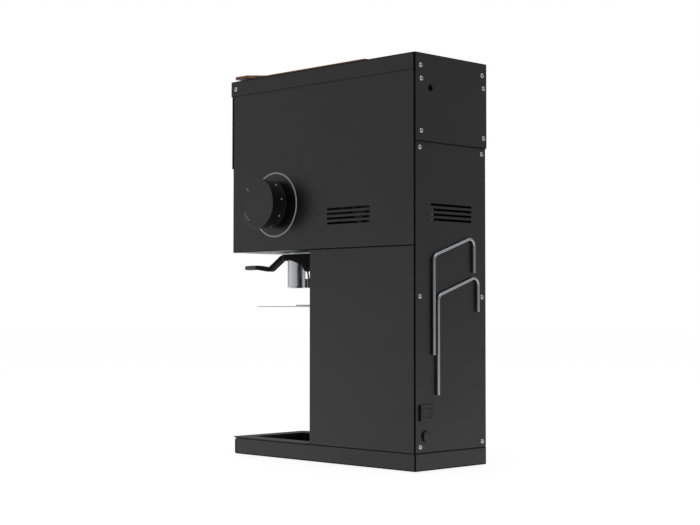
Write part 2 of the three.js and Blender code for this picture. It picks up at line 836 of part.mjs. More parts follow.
// The sleeve slides in the cover with the shaft's front bearing, pushed by the threaded spindle
function thrustSleeve() {
  const seat = bearingRadius + fit;
  const seatEnd = sleeveLeft + bearingWidth + fit;
  const way = shaftDiameter / 2 + bearingLip;
  const thread = threadRadius + fit;
  const profile = [
    [thread, sleeveRight], [guideRadius, sleeveRight], [guideRadius, sleeveLeft], [seat, sleeveLeft],
    [seat, seatEnd], [way, seatEnd], [way, shaftRight + shaftEndGap],
    [thread, shaftRight + shaftEndGap], [thread, sleeveRight],
  ];
  return turned('x', profile, grinderY, grinderZ);
}

function shaftBearing(from) {
  return tube('x', bearingRadius, shaftDiameter / 2 + fit, from, from + bearingWidth, grinderY, grinderZ);
}

addPiece('rotating_burr', burrRing(rotatingLeft, rotatingRight, rotatingLeft), burrSteel);
addPiece('fixed_burr', burrRing(fixedLeft, fixedRight, fixedRight), burrSteel);
addPiece('thrust_sleeve', thrustSleeve(), castAlloy);
addPiece('burr_shaft', burrShaft(), polishedSteel);
addPiece('feed_auger', feedAuger(), innerSteel);
addPiece('shaft_bearing_front', shaftBearing(sleeveLeft), polishedSteel);
addPiece('shaft_bearing_rear', shaftBearing(neckLeft), polishedSteel);

// Knob, its spindle and the fixed collar on the side panel
const knobStandOff = 15.5;
const knobReach = 43.5;
const knobRearRadius = 41.5;
const knobFaceRadius = 43.2;
const knobEdge = 0.8;
const knobSeatDepth = 14;
const collarThickness = 12;
const collarRadius = 27;
const pointerReach = 31.5;
const pointerHalf = 3;
const pointerThick = 2;
const pointerTurnDegrees = 3;
const collarInside = 7;
const spindleRadius = 8;
const spindleRunGap = 3;

function grindKnob() {
  const rear = halfWidth + knobStandOff;
  const face = halfWidth + knobReach;
  const seat = rear + knobSeatDepth;
  const profile = [
    [spindleRadius + fit, rear], [knobRearRadius - knobEdge, rear],
    [ knobRearRadius, rear + knobEdge, ], [knobFaceRadius, face - knobEdge],
    [knobFaceRadius - knobEdge, face], [0, face], [0, seat], [spindleRadius + fit, seat],
    [spindleRadius + fit, rear],
  ];
  return turned('x', profile, grinderY, grinderZ, fineSides);
}

function adjusterSpindle() {
  const threadStart = shaftRight + shaftEndGap + spindleRunGap;
  const shoulder = sleeveRight + spindleRunGap;
  const end = halfWidth + knobStandOff + knobSeatDepth - fit;
  const profile = [
    [0, threadStart], [threadRadius, threadStart], [threadRadius, shoulder], [spindleRadius, shoulder],
    [spindleRadius, end], [0, end],
  ];
  return turned('x', profile, grinderY, grinderZ, smallSides);
}

function knobCollar() {
  const panel = halfWidth;
  const bore = spindleRadius + fit;
  const profile = [
    [bore, panel - collarInside], [collarHoleDiameter / 2, panel - collarInside],
    [collarHoleDiameter / 2, panel + fit], [collarRadius, panel + fit],
    [collarRadius, panel + collarThickness], [bore, panel + collarThickness],
    [bore, panel - collarInside],
  ];
  const ring = turned('x', profile, grinderY, grinderZ);
  const root = collarRadius - pointerThick;
  const turn = pointerTurnDegrees * Math.PI / 180;
  const outline = [[root, -pointerHalf], [pointerReach, 0], [root, pointerHalf]].map(([a, b]) => [
    grinderY + a * Math.cos(turn) - b * Math.sin(turn),
    grinderZ + a * Math.sin(turn) + b * Math.cos(turn),
  ]);
  return join(ring, prism('x', outline, panel + fit, panel + fit + pointerThick));
}

addPiece('grind_knob', grindKnob(), blackPlastic);
addPiece('adjuster_spindle', adjusterSpindle(), polishedSteel);
addPiece('knob_collar', knobCollar(), blackPlastic);

// Motor, pulleys and belt
const motorRadius = 66;
const motorLeft = -62;
const motorRight = 58;
const motorBore = 41;
const motorEndWall = 6;
const motorFootHalf = 45;
const motorFootRise = 22;
const motorShaftRadius = 9;
const rotorRadius = 39;
const rotorEndGap = 6;
const bellHole = 14;
const bellHoleRing = 32;
const bellHoles = 6;
const fanRadius = 50;
const fanThickness = 9;
const fanHub = 15;
const fanBlades = 9;
const fanBladeThick = 3;
const fanBackPlate = 2;
const pulleyLeft = -84;
const pulleyWidth = 11;
const beltWidth = 8;
const beltThick = 3;
const drivenRadius = 50;
const motorPulleyRadius = 25;
const pulleyRim = 1.5;
const pulleyFlange = 2;
const pulleyHub = 8;

function motorHousing() {
  const barrel = cylinder('x', motorRadius, motorLeft, motorRight, motorY, grinderZ);
  const feet = box(
    motorLeft, motorRight, motorY - motorFootHalf, motorY + motorFootHalf, deckTopZ + fit,
    deckTopZ + motorFootRise,
  );
  const hollow = cylinder(
    'x', motorBore, motorLeft + motorEndWall, motorRight - motorEndWall, motorY, grinderZ,
  );
  const shaftWay = cylinder(
    'x', motorShaftRadius + fit, motorLeft - overrun, motorRight + overrun, motorY, grinderZ,
    smallSides,
  );
  const holes = [];
  for (let i = 0; i < bellHoles; i += 1) {
    const angle = 2 * Math.PI * (i + 1 / 2) / bellHoles;
    const y = motorY + bellHoleRing * Math.cos(angle);
    const z = grinderZ + bellHoleRing * Math.sin(angle);
    holes.push(cylinder(
      'x', bellHole / 2, motorLeft - overrun, motorRight + overrun, y, z, smallSides / 2,
    ));
  }
  return cut(join(barrel, feet), hollow, shaftWay, ...holes);
}

function motorRotor() {
  const from = motorLeft + motorEndWall + rotorEndGap;
  const to = motorRight - motorEndWall - rotorEndGap;
  const end = motorRight + fanThickness + fit;
  const profile = [
    [0, pulleyLeft], [motorShaftRadius, pulleyLeft], [motorShaftRadius, from], [rotorRadius, from],
    [rotorRadius, to], [motorShaftRadius, to], [motorShaftRadius, end], [0, end],
  ];
  return turned('x', profile, motorY, grinderZ, smallSides);
}

function motorFan() {
  const from = motorRight + fit + fanBackPlate;
  const plate = tube('x', fanRadius, motorShaftRadius + fit, from, from + fanBackPlate, motorY, grinderZ);
  const hub = tube(
    'x', fanHub, motorShaftRadius + fit, from, from + fanThickness, motorY, grinderZ, smallSides,
  );
  const blades = [];
  for (let i = 0; i < fanBlades; i += 1) {
    const blade = new THREE.BoxGeometry(fanThickness, fanRadius - fanHub, fanBladeThick);
    blade.translate(from + fanThickness / 2, (fanRadius + fanHub) / 2 - fanBladeThick / 2, 0);
    blade.rotateX(2 * Math.PI * i / fanBlades);
    blade.translate(0, motorY, grinderZ);
    blades.push(toSolid(blade));
  }
  return join(plate, hub, ...blades);
}

function motorPulley() {
  const from = pulleyLeft;
  const to = pulleyLeft + pulleyWidth;
  const bore = motorShaftRadius + fit;
  const outer = motorPulleyRadius + pulleyFlange;
  const profile = [
    [bore, from], [outer, from], [outer, from + pulleyRim], [ motorPulleyRadius, from + pulleyRim, ],
    [motorPulleyRadius, to - pulleyRim], [outer, to - pulleyRim], [outer, to], [bore, to], [bore, from],
  ];
  return turned('x', profile, motorY, grinderZ);
}

// The driven pulley is flat, because it floats with the shaft
function drivenPulley() {
  const from = pulleyLeft;
  const to = pulleyLeft + pulleyWidth;
  const hub = shaftDiameter / 2 + pulleyHub;
  const rim = drivenRadius - pulleyHub;
  const web = from + pulleyWidth / 2;
  const bore = shaftDiameter / 2 + fit;
  const profile = [
    [bore, from], [hub, from], [hub, web], [rim, web], [rim, from], [drivenRadius, from],
    [drivenRadius, to], [bore, to], [bore, from],
  ];
  return turned('x', profile, grinderY, grinderZ);
}

function beltOutline(grow) {
  const big = drivenRadius + fit + grow;
  const small = motorPulleyRadius + fit + grow;
  const lean = Math.asin((big - small) / (motorY - grinderY));
  const leave = Math.PI / 2 - lean;
  return [
    ...arc(motorY, grinderZ, small, -leave, leave, smallSides),
    ...arc(grinderY, grinderZ, big, leave, 2 * Math.PI - leave, smallSides),
  ];
}

function driveBelt() {
  const from = pulleyLeft + (pulleyWidth - beltWidth) / 2 + fit / 2;
  const to = from + beltWidth - fit;
  return cut(
    prism('x', beltOutline(beltThick), from, to),
    prism('x', beltOutline(0), from - overrun, to + overrun),
  );
}

addPiece('motor_housing', motorHousing(), castAlloy);
addPiece('motor_rotor', motorRotor(), polishedSteel);
addPiece('motor_fan', motorFan(), blackPlastic);
addPiece('motor_pulley', motorPulley(), castAlloy);
addPiece('driven_pulley', drivenPulley(), castAlloy);
addPiece('drive_belt', driveBelt(), blackRubber);

// Electrical parts in the column and behind the hopper
const controlWidth = 104;
const controlDepth = 60;
const controlTall = 150;
const controlForward = 130;
const controlPlinth = 4;
const capacitorRadius = 22;
const capacitorTall = 78;
const capacitorStud = 4;
const capacitorStudRise = 8;
const capacitorOffset = 22;
const breakerHalf = 14;
const breakerDepth = 34;
const breakerBore = 4.5;
const resetButtonRadius = 4;
const resetRecess = 3;
const resetTravel = 2;

function controlBox() {
  const z0 = baseZ + baseFloor + fit;
  const y = -controlForward;
  const body = box(
    -controlWidth / 2, controlWidth / 2, y - controlDepth / 2, y + controlDepth / 2, z0,
    z0 + controlTall,
  );
  const lidLine = box(
    -controlWidth, controlWidth, y + controlDepth / 2 - controlPlinth, y + controlDepth,
    z0 + controlTall - 2 * controlPlinth, z0 + controlTall - controlPlinth,
  );
  return cut(body, lidLine);
}

function runCapacitor() {
  const z0 = baseZ + baseFloor + fit + controlTall + fit;
  const profile = [
    [0, z0], [capacitorRadius, z0], [capacitorRadius, z0 + capacitorTall],
    [capacitorStud, z0 + capacitorTall], [capacitorStud, z0 + capacitorTall + capacitorStudRise],
    [0, z0 + capacitorTall + capacitorStudRise],
  ];
  return turned('z', profile, capacitorOffset, -controlForward, smallSides);
}

function overloadBreaker() {
  const z = resetZ;
  const back = -lap;
  const body = box(
    resetOffset - breakerHalf, resetOffset + breakerHalf, back - breakerDepth, back, z - breakerHalf,
    z + breakerHalf,
  );
  const well = cylinder('y', breakerBore, back - breakerDepth / 2, overrun, resetOffset, z, smallSides);
  return cut(body, well);
}

function resetButton() {
  const from = -lap - breakerDepth / 2 + resetTravel + fit;
  return cylinder('y', resetButtonRadius, from, -resetRecess, resetOffset, resetZ, smallSides);
}

function mainsSwitchBody() {
  const z = baseZ + switchHeight;
  const frame = prism(
    'y',
    roundedRect(
      switchOffset - switchWidth / 2, switchOffset + switchWidth / 2, z - switchTall / 2,
      z + switchTall / 2, bendRadius,
    ),
    fit, switchProud,
  );
  const halfW = switchWidth / 2 - switchRim;
  const halfT = switchTall / 2 - switchRim;
  const body = box(
    switchOffset - halfW, switchOffset + halfW, -switchBodyDepth, switchProud / 2, z - halfT, z + halfT,
  );
  const pocket = box(
    switchOffset - halfW + sheet, switchOffset + halfW - sheet, -switchProud, switchProud + overrun,
    z - halfT + sheet, z + halfT - sheet,
  );
  return cut(join(frame, body), pocket);
}

// Rocker on an upright axis: one half of its face lies flat, the other stands up
const rockerTurnDegrees = 12;
const rockerSideGap = 1;
const rockerDrop = 2.8;

function mainsRocker() {
  const z = baseZ + switchHeight;
  const halfW = switchWidth / 2 - switchRim - sheet - rockerSideGap;
  const halfT = switchTall / 2 - switchRim - sheet - fit;
  const turn = rockerTurnDegrees * Math.PI / 180;
  const face = switchProud - rockerDrop;
  const outline = [
    [switchOffset - halfW, 0], [switchOffset + halfW, 0], [switchOffset + halfW, face],
    [switchOffset, face], [switchOffset - halfW * Math.cos(turn), face + halfW * Math.sin(turn)],
  ];
  return prism('z', outline, z - halfT, z + halfT);
}

function cordGland() {
  const z = baseZ + glandHeight;
  const nutFrom = -lap - glandNutThick;
  const profile = [
    [0, -glandLength], [glandThread / 2, -glandLength], [glandThread / 2, nutFrom],
    [glandNutDiameter / 2, nutFrom], [glandNutDiameter / 2, -lap], [glandThread / 2, -lap],
    [glandThread / 2, fit], [glandDiameter / 2, fit], [glandDiameter / 2, glandProud - bendRadius / 2],
    [glandDiameter / 2 - bendRadius / 2, glandProud], [0, glandProud],
  ];
  return turned('y', profile, glandOffset, z, smallSides);
}

addPiece('control_box', controlBox(), innerSteel);
addPiece('run_capacitor', runCapacitor(), castAlloy);
addPiece('overload_breaker', overloadBreaker(), blackPlastic);
addPiece('reset_button', resetButton(), blackPlastic);
addPiece('mains_switch_body', mainsSwitchBody(), blackPlastic);
addPiece('mains_rocker', mainsRocker(), blackPlastic);
addPiece('cord_gland', cordGland(), blackPlastic);

// Start button in the front panel
const bezelRadius = 14;
const bezelThick = 2.5;
const bezelLength = 20;
const startRadius = 8.5;
const startProud = 5;
const startTravel = 3;
const startBack = 10;

function buttonBezel() {
  const face = headFrontY - fit;
  const bore = startRadius + fit;
  const profile = [
    [bore, face - bezelThick], [bezelRadius, face - bezelThick], [bezelRadius, face],
    [startHoleDiameter / 2, face], [startHoleDiameter / 2, face + bezelLength], [0, face + bezelLength],
    [0, face + startBack], [bore, face + startBack], [bore, face - bezelThick],
  ];
  return turned('y', profile, 0, upperFrontZ - startDrop);
}

function startButton() {
  const front = headFrontY - fit - startProud;
  const back = headFrontY - fit + startBack - startTravel - fit;
  return cylinder('y', startRadius, front, back, 0, upperFrontZ - startDrop);
}

addPiece('button_bezel', buttonBezel(), polishedSteel);
addPiece('start_button', startButton(), blackPlastic);

// Spout
function outletSpout() {
  const top = deckTopZ + spoutSeatDepth - fit;
  return tube('z', spoutDiameter / 2, spoutDiameter / 2 - spoutWall, spoutEndZ, top, 0, spoutY, fineSides);
}

addPiece('outlet_spout', outletSpout(), polishedSteel);

// Bag clamp: bracket, forked lever with its grip, jaw with its pad, pins and spring
const leverPinForward = 318;
const leverPinHeight = 334;
const jawPinForward = 342;
const jawPinHeight = 347;
const pinRadius = 3;
const earHalf = 15;
const earThick = 2.5;
const bracketRear = 308;
const bracketFront = 349;
const earRadius = 7;
const forkInner = 18.5;
const forkThick = 3;
const forkCentreForward = 374;
const forkDepth = 11.5;
const cheekRadius = 11.5;
const forkTopDrop = 3;
const leverTopZ = headFloorZ - forkTopDrop;
const barWide = 8;
const barDeep = 9.5;
const barBend = 7;
const barBendSteps = 6;
const gripRadius = 4.4;
const gripLength = 34;
const gripPin = 2.5;
const gripOverlap = 20;
const tipForward = 507;
const tipHeight = 333.3;
const lowBendForward = 435;
const lowBendHeight = 329;
const flatEndForward = 465;
const upBendForward = 397;
const leverPinY = -leverPinForward;
const leverPinZ = baseZ + leverPinHeight;
const jawPinY = -jawPinForward;
const jawPinZ = baseZ + jawPinHeight;
const plateUnderZ = headFloorZ - fit;

function clampBracket() {
  const top = box(
    -earHalf - earThick, earHalf + earThick, -bracketFront, -bracketRear, plateUnderZ - earThick,
    plateUnderZ,
  );
  const earOutline = [
    [-bracketRear, plateUnderZ], [-bracketFront, plateUnderZ],
    ...arc(jawPinY, jawPinZ, earRadius, Math.PI, 3 * Math.PI / 2, bendSteps),
    ...arc(leverPinY, leverPinZ, earRadius, 3 * Math.PI / 2, 2 * Math.PI, bendSteps),
  ];
  const sides = [[earHalf, earHalf + earThick], [-earHalf - earThick, -earHalf]];
  const ears = sides.map(([a, b]) => prism('x', earOutline, a, b));
  const holes = [[leverPinY, leverPinZ], [jawPinY, jawPinZ]].map(([y, z]) => cylinder(
    'x', pinRadius + fit, -bodyWidth, bodyWidth, y, z, smallSides,
  ));
  return cut(join(top, ...ears), ...holes);
}

function crossPin(y, z, half) {
  return cylinder('x', pinRadius, -half, half, y, z, smallSides);
}

function leverCheek() {
  const under = leverTopZ - forkDepth;
  return [
    [-forkCentreForward, under], [-forkCentreForward, leverTopZ],
    [leverPinY, leverTopZ],
    ...arc(leverPinY, leverPinZ, cheekRadius, Math.PI / 2, -Math.PI * 2 / 3, bendSteps * 2),
  ];
}

function clampLever() {
  const outer = forkInner + forkThick;
  const cheeks = [[forkInner, outer], [-outer, -forkInner]].map(([a, b]) => prism('x', leverCheek(), a, b));
  const under = leverTopZ - forkDepth;
  const bowOuter = arc(0, -forkCentreForward, outer, Math.PI, 2 * Math.PI, smallSides);
  const bowInner = arc(0, -forkCentreForward, forkInner, 2 * Math.PI, Math.PI, smallSides);
  const bow = prism('z', [...bowOuter, ...bowInner], under, leverTopZ);
  const barZ = leverTopZ - barDeep / 2;
  const start = forkCentreForward + forkInner + forkThick / 2;
  const flatZ = baseZ + tipHeight;
  const line = bentPath([[-start, barZ], [-upBendForward, barZ], [-lowBendForward, baseZ + lowBendHeight],
    [-flatEndForward, flatZ], [-tipForward + gripLength + fit, flatZ]], barBend, barBendSteps);
  const section = roundedRect(-barDeep / 2, barDeep / 2, -barWide / 2, barWide / 2, bendRadius, 2);
  const bar = sweep(line.map(([y, z]) => [0, y, z]), [1, 0, 0], section);
  const tang = cylinder(
    'y', gripPin, -tipForward + gripLength - gripOverlap, -tipForward + gripLength + fit, 0, flatZ,
    smallSides / 2,
  );
  const holes = cylinder('x', pinRadius + fit, -bodyWidth, bodyWidth, leverPinY, leverPinZ, smallSides);
  return cut(join(...cheeks, bow, bar, tang), holes);
}

function leverGrip() {
  const z = baseZ + tipHeight;
  const from = -tipForward;
  const to = -tipForward + gripLength;
  const bore = gripPin + fit;
  const profile = [
    [0, from], [gripRadius / 2, from],
    ...arc(gripRadius / 2, from + gripRadius / 2, gripRadius / 2, -Math.PI / 3, 0, 2),
    [gripRadius, to], [bore, to], [bore, to - gripOverlap - fit], [0, to - gripOverlap - fit],
  ];
  return turned('y', profile, 0, z, smallSides);
}

addPiece('clamp_bracket', clampBracket(), blackPaint);
addPiece('clamp_lever', clampLever(), blackPaint);
addPiece('lever_grip', leverGrip(), blackPlastic);
addPiece('lever_pin', crossPin(leverPinY, leverPinZ, forkInner + forkThick), polishedSteel);
addPiece('jaw_pin', crossPin(jawPinY, jawPinZ, earHalf + earThick), polishedSteel);

// Jaw: a hub with two spreading legs down to a small plate that carries the rubber pad
const jawHubHalf = 10;
const jawHubRadius = 5;
const jawLeg = 3;
const jawLegTopHalf = 4;
const jawLegFootHalf = 9;
const padTall = 16;
const padHalf = 9;
const padThick = 5;
const jawPlate = 2.5;
const padFrontForward = 336.8;
const padGrooves = 3;
const padGrooveDepth = 1;
const padBottomZ = spoutEndZ;
const padTopZ = padBottomZ + padTall;

function clampJaw() {
  const hub = tube(
    'x', jawHubRadius, pinRadius + fit, -jawHubHalf, jawHubHalf, jawPinY, jawPinZ, smallSides,
  );
  const backY = -padFrontForward + padThick + fit;
  const plate = box(-padHalf, padHalf, backY, backY + jawPlate, padBottomZ, padTopZ);
  const legs = [-1, 1].map((side) => {
    const top = [side * jawLegTopHalf, jawPinY + jawPlate, jawPinZ - pinRadius - fit];
    const low = [side * (jawLegFootHalf - jawLeg), backY + jawPlate, padTopZ - jawLeg];
    return sweep(
      [top, low], [1, 0, 0],
      roundedRect(-jawPlate / 2, jawPlate / 2, -jawLeg / 2, jawLeg / 2, jawPlate / 4, 1),
    );
  });
  return join(hub, plate, ...legs);
}

function jawPad() {
  const front = -padFrontForward;
  const body = box(-padHalf, padHalf, front, front + padThick, padBottomZ, padTopZ);
  const grooves = [];
  for (let i = 1; i <= padGrooves; i += 1) {
    const z = padBottomZ + padTall * i / (padGrooves + 1);
    grooves.push(box(
      -padHalf - overrun, padHalf + overrun, front - padGrooveDepth, front + padGrooveDepth,
      z - padGrooveDepth / 2, z + padGrooveDepth / 2,
    ));
  }
  return cut(body, ...grooves);
}

addPiece('clamp_jaw', clampJaw(), polishedSteel);
addPiece('jaw_pad', jawPad(), blackRubber);

// Torsion spring round the lever's pin, as the sleeve that it fills
const springWall = 1.6;
const springHalf = 11;

function clampSpring() {
  const inner = pinRadius + fit;
  return tube('x', inner + springWall, inner, -springHalf, springHalf, leverPinY, leverPinZ, smallSides);
}

addPiece('clamp_spring', clampSpring(), polishedSteel);

// Bag shelf and the bracket that carries it in the column's two slots
const shelfThick = 1.5;
const shelfHalfWidth = 62;
const shelfFront = 406;
const shelfCorner = 8;
const bracketHalfWidth = 50;
const bracketLegFront = 316;
const bracketLegThick = 2;
const bracketRise = 34;
const lugHalf = 3;
const lugTall = 16;
const lugHeadHalf = 6;
const lugHeadThick = 2;
const lugGap = 0.5;

function bagShelf() {
  const rear = columnFrontY - fit;
  return prism(
    'z', roundedRect(-shelfHalfWidth, shelfHalfWidth, -shelfFront, rear, shelfCorner / 2),
    shelfZ - shelfThick, shelfZ,
  );
}

function shelfBracket() {
  const z0 = shelfZ + fit;
  const face = columnFrontY - fit;
  const leg = box(-bracketHalfWidth, bracketHalfWidth, -bracketLegFront, face, z0, z0 + bracketLegThick);
  const upright = box(
    -bracketHalfWidth, bracketHalfWidth, face - bracketLegThick, face, z0, z0 + bracketRise,
  );
  const lugs = [-1, 1].flatMap((side) => {
    const x = side * shelfSlotSpacing / 2;
    const top = z0 + bracketRise;
    const behind = columnFrontY + sheet + lugGap;
    const neck = box(
      x - lugHalf, x + lugHalf, face - bracketLegThick / 2, behind + lugHeadThick / 2, top - lugTall,
      top,
    );
    const head = box(x - lugHeadHalf, x + lugHeadHalf, behind, behind + lugHeadThick, top - lugTall, top);
    return [neck, head];
  });
  return join(leg, upright, ...lugs);
}

addPiece('bag_shelf', bagShelf(), polishedSteel);
addPiece('shelf_bracket', shelfBracket(), polishedSteel);

// Two bent wire racks on the rear panel, each welded to short studs behind it
const rodRadius = 2.5;
const rodSides = 10;
const rodStandOff = 3.75;
const rodBend = 11;
const rodBendSteps = 6;
const rodLongX = 46.3;
const rodLongBottom = 183;
const rodLongLeg = 159;
const rodRise = 33;
const rodShortX = -52.6;
const rodShortLeg = 59;
const rodShiftAcross = 10.2;
const rodShiftDown = 64;
const studRadius = 1.6;
const studInset = 22;

function wireRack(index) {
  const dx = -index * rodShiftAcross;
  const longBottom = baseZ + rodLongBottom - index * rodShiftDown;
  const longTop = longBottom + rodLongLeg;
  const shortTop = longTop + rodRise;
  const shortBottom = shortTop - rodShortLeg;
  const corners = [[rodLongX + dx, longBottom], [rodLongX + dx, longTop],
    [rodShortX + dx, shortTop], [rodShortX + dx, shortBottom]];
  const path = bentPath(corners, rodBend, rodBendSteps).map(([x, z]) => [x, rodStandOff, z]);
  const rod = sweep(path, [0, 1, 0], circle(rodRadius, rodSides));
  const studs = [
    [rodLongX + dx, longBottom + studInset],
    [rodLongX + dx, longTop - studInset],
    [rodShortX + dx, shortBottom + studInset],
  ].map(([x, z]) => cylinder('y', studRadius, fit, rodStandOff, x, z, smallSides / 3));
  return join(rod, ...studs);
}

addPiece('wire_rack_upper', wireRack(0), polishedSteel);
addPiece('wire_rack_lower', wireRack(1), polishedSteel);

// The frame's origin is the middle of the whole part's bottom
const reachLeft = halfWidth + lap;
const reachRight = halfWidth + knobReach;
const reachRear = Math.max(rodStandOff + rodRadius, glandProud);
assembly.position.set((reachLeft - reachRight) / 2, (tipForward - reachRear) / 2, 0);

export default group;
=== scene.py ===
# Bulk coffee grinder: finishes, pressed and turned pieces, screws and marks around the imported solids
import json
from math import cos, pi, radians, sin, sqrt, tan
import bmesh
import bpy
from mathutils import Matrix, Vector


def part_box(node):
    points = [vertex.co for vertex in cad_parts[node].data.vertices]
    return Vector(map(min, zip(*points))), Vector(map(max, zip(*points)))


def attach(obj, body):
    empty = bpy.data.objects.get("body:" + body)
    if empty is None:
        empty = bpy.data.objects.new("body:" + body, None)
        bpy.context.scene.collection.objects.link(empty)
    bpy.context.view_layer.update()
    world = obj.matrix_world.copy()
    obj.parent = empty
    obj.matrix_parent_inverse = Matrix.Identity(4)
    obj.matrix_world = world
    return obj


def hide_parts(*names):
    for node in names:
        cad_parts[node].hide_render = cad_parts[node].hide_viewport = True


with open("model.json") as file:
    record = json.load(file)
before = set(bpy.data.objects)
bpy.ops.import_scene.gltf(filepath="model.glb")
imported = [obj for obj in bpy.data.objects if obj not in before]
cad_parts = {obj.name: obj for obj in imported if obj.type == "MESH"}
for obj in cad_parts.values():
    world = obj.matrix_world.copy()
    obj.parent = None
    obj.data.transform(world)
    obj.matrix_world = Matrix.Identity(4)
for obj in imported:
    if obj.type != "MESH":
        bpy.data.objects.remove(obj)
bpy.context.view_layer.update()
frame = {"nodes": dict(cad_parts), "record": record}
mm = 0.001
print("frame loaded:", len(frame["nodes"]), "solids")

bpy.context.scene.view_settings.view_transform = "Standard"

# Camera at the photograph's place, level with the lower rods and turned a little up
cameraLook = {
    "place": (1.76645, 1.80245, 0.2527), "yaw": -135.0448, "pitch": 1.9549, "roll": 0.028,
    "lens": 74.983, "sensor": 36.0,
}


def addObject(name, data):
    obj = bpy.data.objects.new(name, data)
    bpy.context.scene.collection.objects.link(obj)
    return obj


def makeCamera(look):
    yaw, pitch, roll = (radians(look[key]) for key in ("yaw", "pitch", "roll"))
    ahead = Vector((cos(yaw) * cos(pitch), sin(yaw) * cos(pitch), sin(pitch)))
    right = ahead.cross(Vector((0, 0, 1))).normalized()
    up = right.cross(ahead)
    x = right * cos(roll) + up * sin(roll)
    y = up * cos(roll) - right * sin(roll)
    data = bpy.data.cameras.new("camera")
    data.lens = look["lens"]
    data.sensor_width = look["sensor"]
    camera = addObject("camera", data)
    turn = Matrix((x, y, -ahead)).transposed().to_4x4()
    camera.matrix_world = Matrix.Translation(Vector(look["place"])) @ turn
    bpy.context.scene.camera = camera


makeCamera(cameraLook)
print("camera set")


# sRGB hex to the linear colour that the shaders take
def linear(hexColour):
    channels = [int(hexColour[i:i + 2], 16) / 255 for i in (1, 3, 5)]
    return tuple(c / 12.92 if c <= 0.04045 else ((c + 0.055) / 1.055) ** 2.4 for c in channels) + (1.0,)


# Adds one shader node: settings fill its sockets, stops or properties, links join earlier sockets to it
def addNode(tree, kind, settings=None, links=None):
    node = tree.nodes.new(kind)
    for key, value in (settings or {}).items():
        if key == "stops":
            ramp = node.color_ramp
            for place, colour in value[2:]:
                ramp.elements.new(place)
            for element, (place, colour) in zip(ramp.elements, sorted(value)):
                element.position = place
                element.color = colour
        elif isinstance(key, int) or key in node.inputs:
            node.inputs[key].default_value = value
        else:
            setattr(node, key, value)
    for key, socket in (links or {}).items():
        tree.links.new(socket, node.inputs[key])
    return node


def grey(value):
    return (value, value, value, 1.0)


# The emptied node tree of a material or a world
def bareTree(owner):
    owner.use_nodes = True
    owner.node_tree.nodes.clear()
    return owner.node_tree


# A bare material: its tree, the object coordinates and the shader that the finish is built on
def startMaterial(name, **sockets):
    sockets = {key.replace("_", " "): value for key, value in sockets.items()}
    material = bpy.data.materials.new(name)
    tree = bareTree(material)
    place = addNode(tree, "ShaderNodeTexCoord").outputs["Object"]
    shader = addNode(tree, "ShaderNodeBsdfPrincipled", sockets)
    addNode(tree, "ShaderNodeOutputMaterial", links={"Surface": shader.outputs["BSDF"]})
    return material, tree, place, shader


def perMm(size):
    return 1 / (size * mm)


# The named lengths of a look, in metres
def metres(look, *keys):
    return [look[key] * mm for key in keys]


# The value of a noise pattern
def noise(tree, place, scale, detail, **more):
    settings = {"Scale": scale, "Detail": detail, **more}
    return addNode(tree, "ShaderNodeTexNoise", settings, {"Vector": place}).outputs["Fac"]


# The result of one sum: numbers fill the node's sockets, earlier sockets are joined to them
def calc(tree, operation, *terms):
    settings, links = {"operation": operation}, {}
    for i, term in enumerate(terms):
        (settings if isinstance(term, (int, float)) else links)[i] = term
    return addNode(tree, "ShaderNodeMath", settings, links).outputs["Value"]


# Joins a pattern to the shader: it mixes the two tones and sets the roughness and, when the look has one,
# the relief, which is a strength and a height in mm. A mottle takes the pattern's place in the colour.
def dress(tree, shader, look, pattern, mottle=None):
    edges = look.get("edges", (0.3, 0.7))
    stops = list(zip(edges, (linear(look["dark"]), linear(look["light"]))))
    tone = addNode(tree, "ShaderNodeValToRGB", {"stops": stops}, {"Fac": mottle or pattern})
    low, high = look["roughness"]
    rough = addNode(tree, "ShaderNodeMapRange", {"To Min": low, "To Max": high}, {"Value": pattern})
    tree.links.new(tone.outputs["Color"], shader.inputs["Base Color"])
    tree.links.new(rough.outputs["Result"], shader.inputs["Roughness"])
    if "relief" in look:
        strength, height = look["relief"]
        bump = addNode(
            tree, "ShaderNodeBump", {"Strength": strength, "Distance": height * mm}, {"Height": pattern})
        tree.links.new(bump.outputs["Normal"], shader.inputs["Normal"])


# Powder-coated steel sheet, satin black: baked polyester powder leaves a fine orange-peel grain.
# The eye gets a near-black that lifts to grey at grazing angles, with a softly broken reflection.
powderCoat = {
    "dark": "#0b0b0c", "light": "#100f10",
    "cloud": 70.0,        # slow change of film thickness across a panel, mm
    "grain": 1.6,         # orange peel; the real 0.4 mm is drawn coarser so that it shows
    "relief": (0.35, 0.03), "roughness": (0.3, 0.37),
}

# The same coat over a bend, near-black and rough: painted shade, so that a bend shows as a black line.
bendShadeCoat = {
    "dark": "#040404", "light": "#080808", "cloud": 40.0, "grain": 1.6, "relief": (0.35, 0.04),
    "roughness": (0.72, 0.82),
}


def makePowderCoat(name, look, shine):
    material, tree, place, shader = startMaterial(name, IOR=1.5, **shine)
    cloud = noise(tree, place, perMm(look["cloud"]), 3.0)
    grain = noise(tree, place, perMm(look["grain"]), 2.0)
    dress(tree, shader, look, grain, cloud)
    return material


# Stainless steel, polished along one direction: thin drawn lines stretch the highlight.
polishedSteel = {
    "dark": "#a9abad", "light": "#c3c5c7",
    "across": 0.7,        # line spacing; the real 0.05 mm polish is drawn coarser so that it shows
    "along": 60.0, "relief": (0.2, 0.01), "roughness": (0.16, 0.26),
}

# Drawn wire, bright but not polished: greyer than the sheet, with die lines along it.
drawnWire = {
    "dark": "#9d9fa1", "light": "#b0b2b4", "across": 0.5, "along": 40.0, "relief": (0.2, 0.01),
    "roughness": (0.2, 0.3),
}

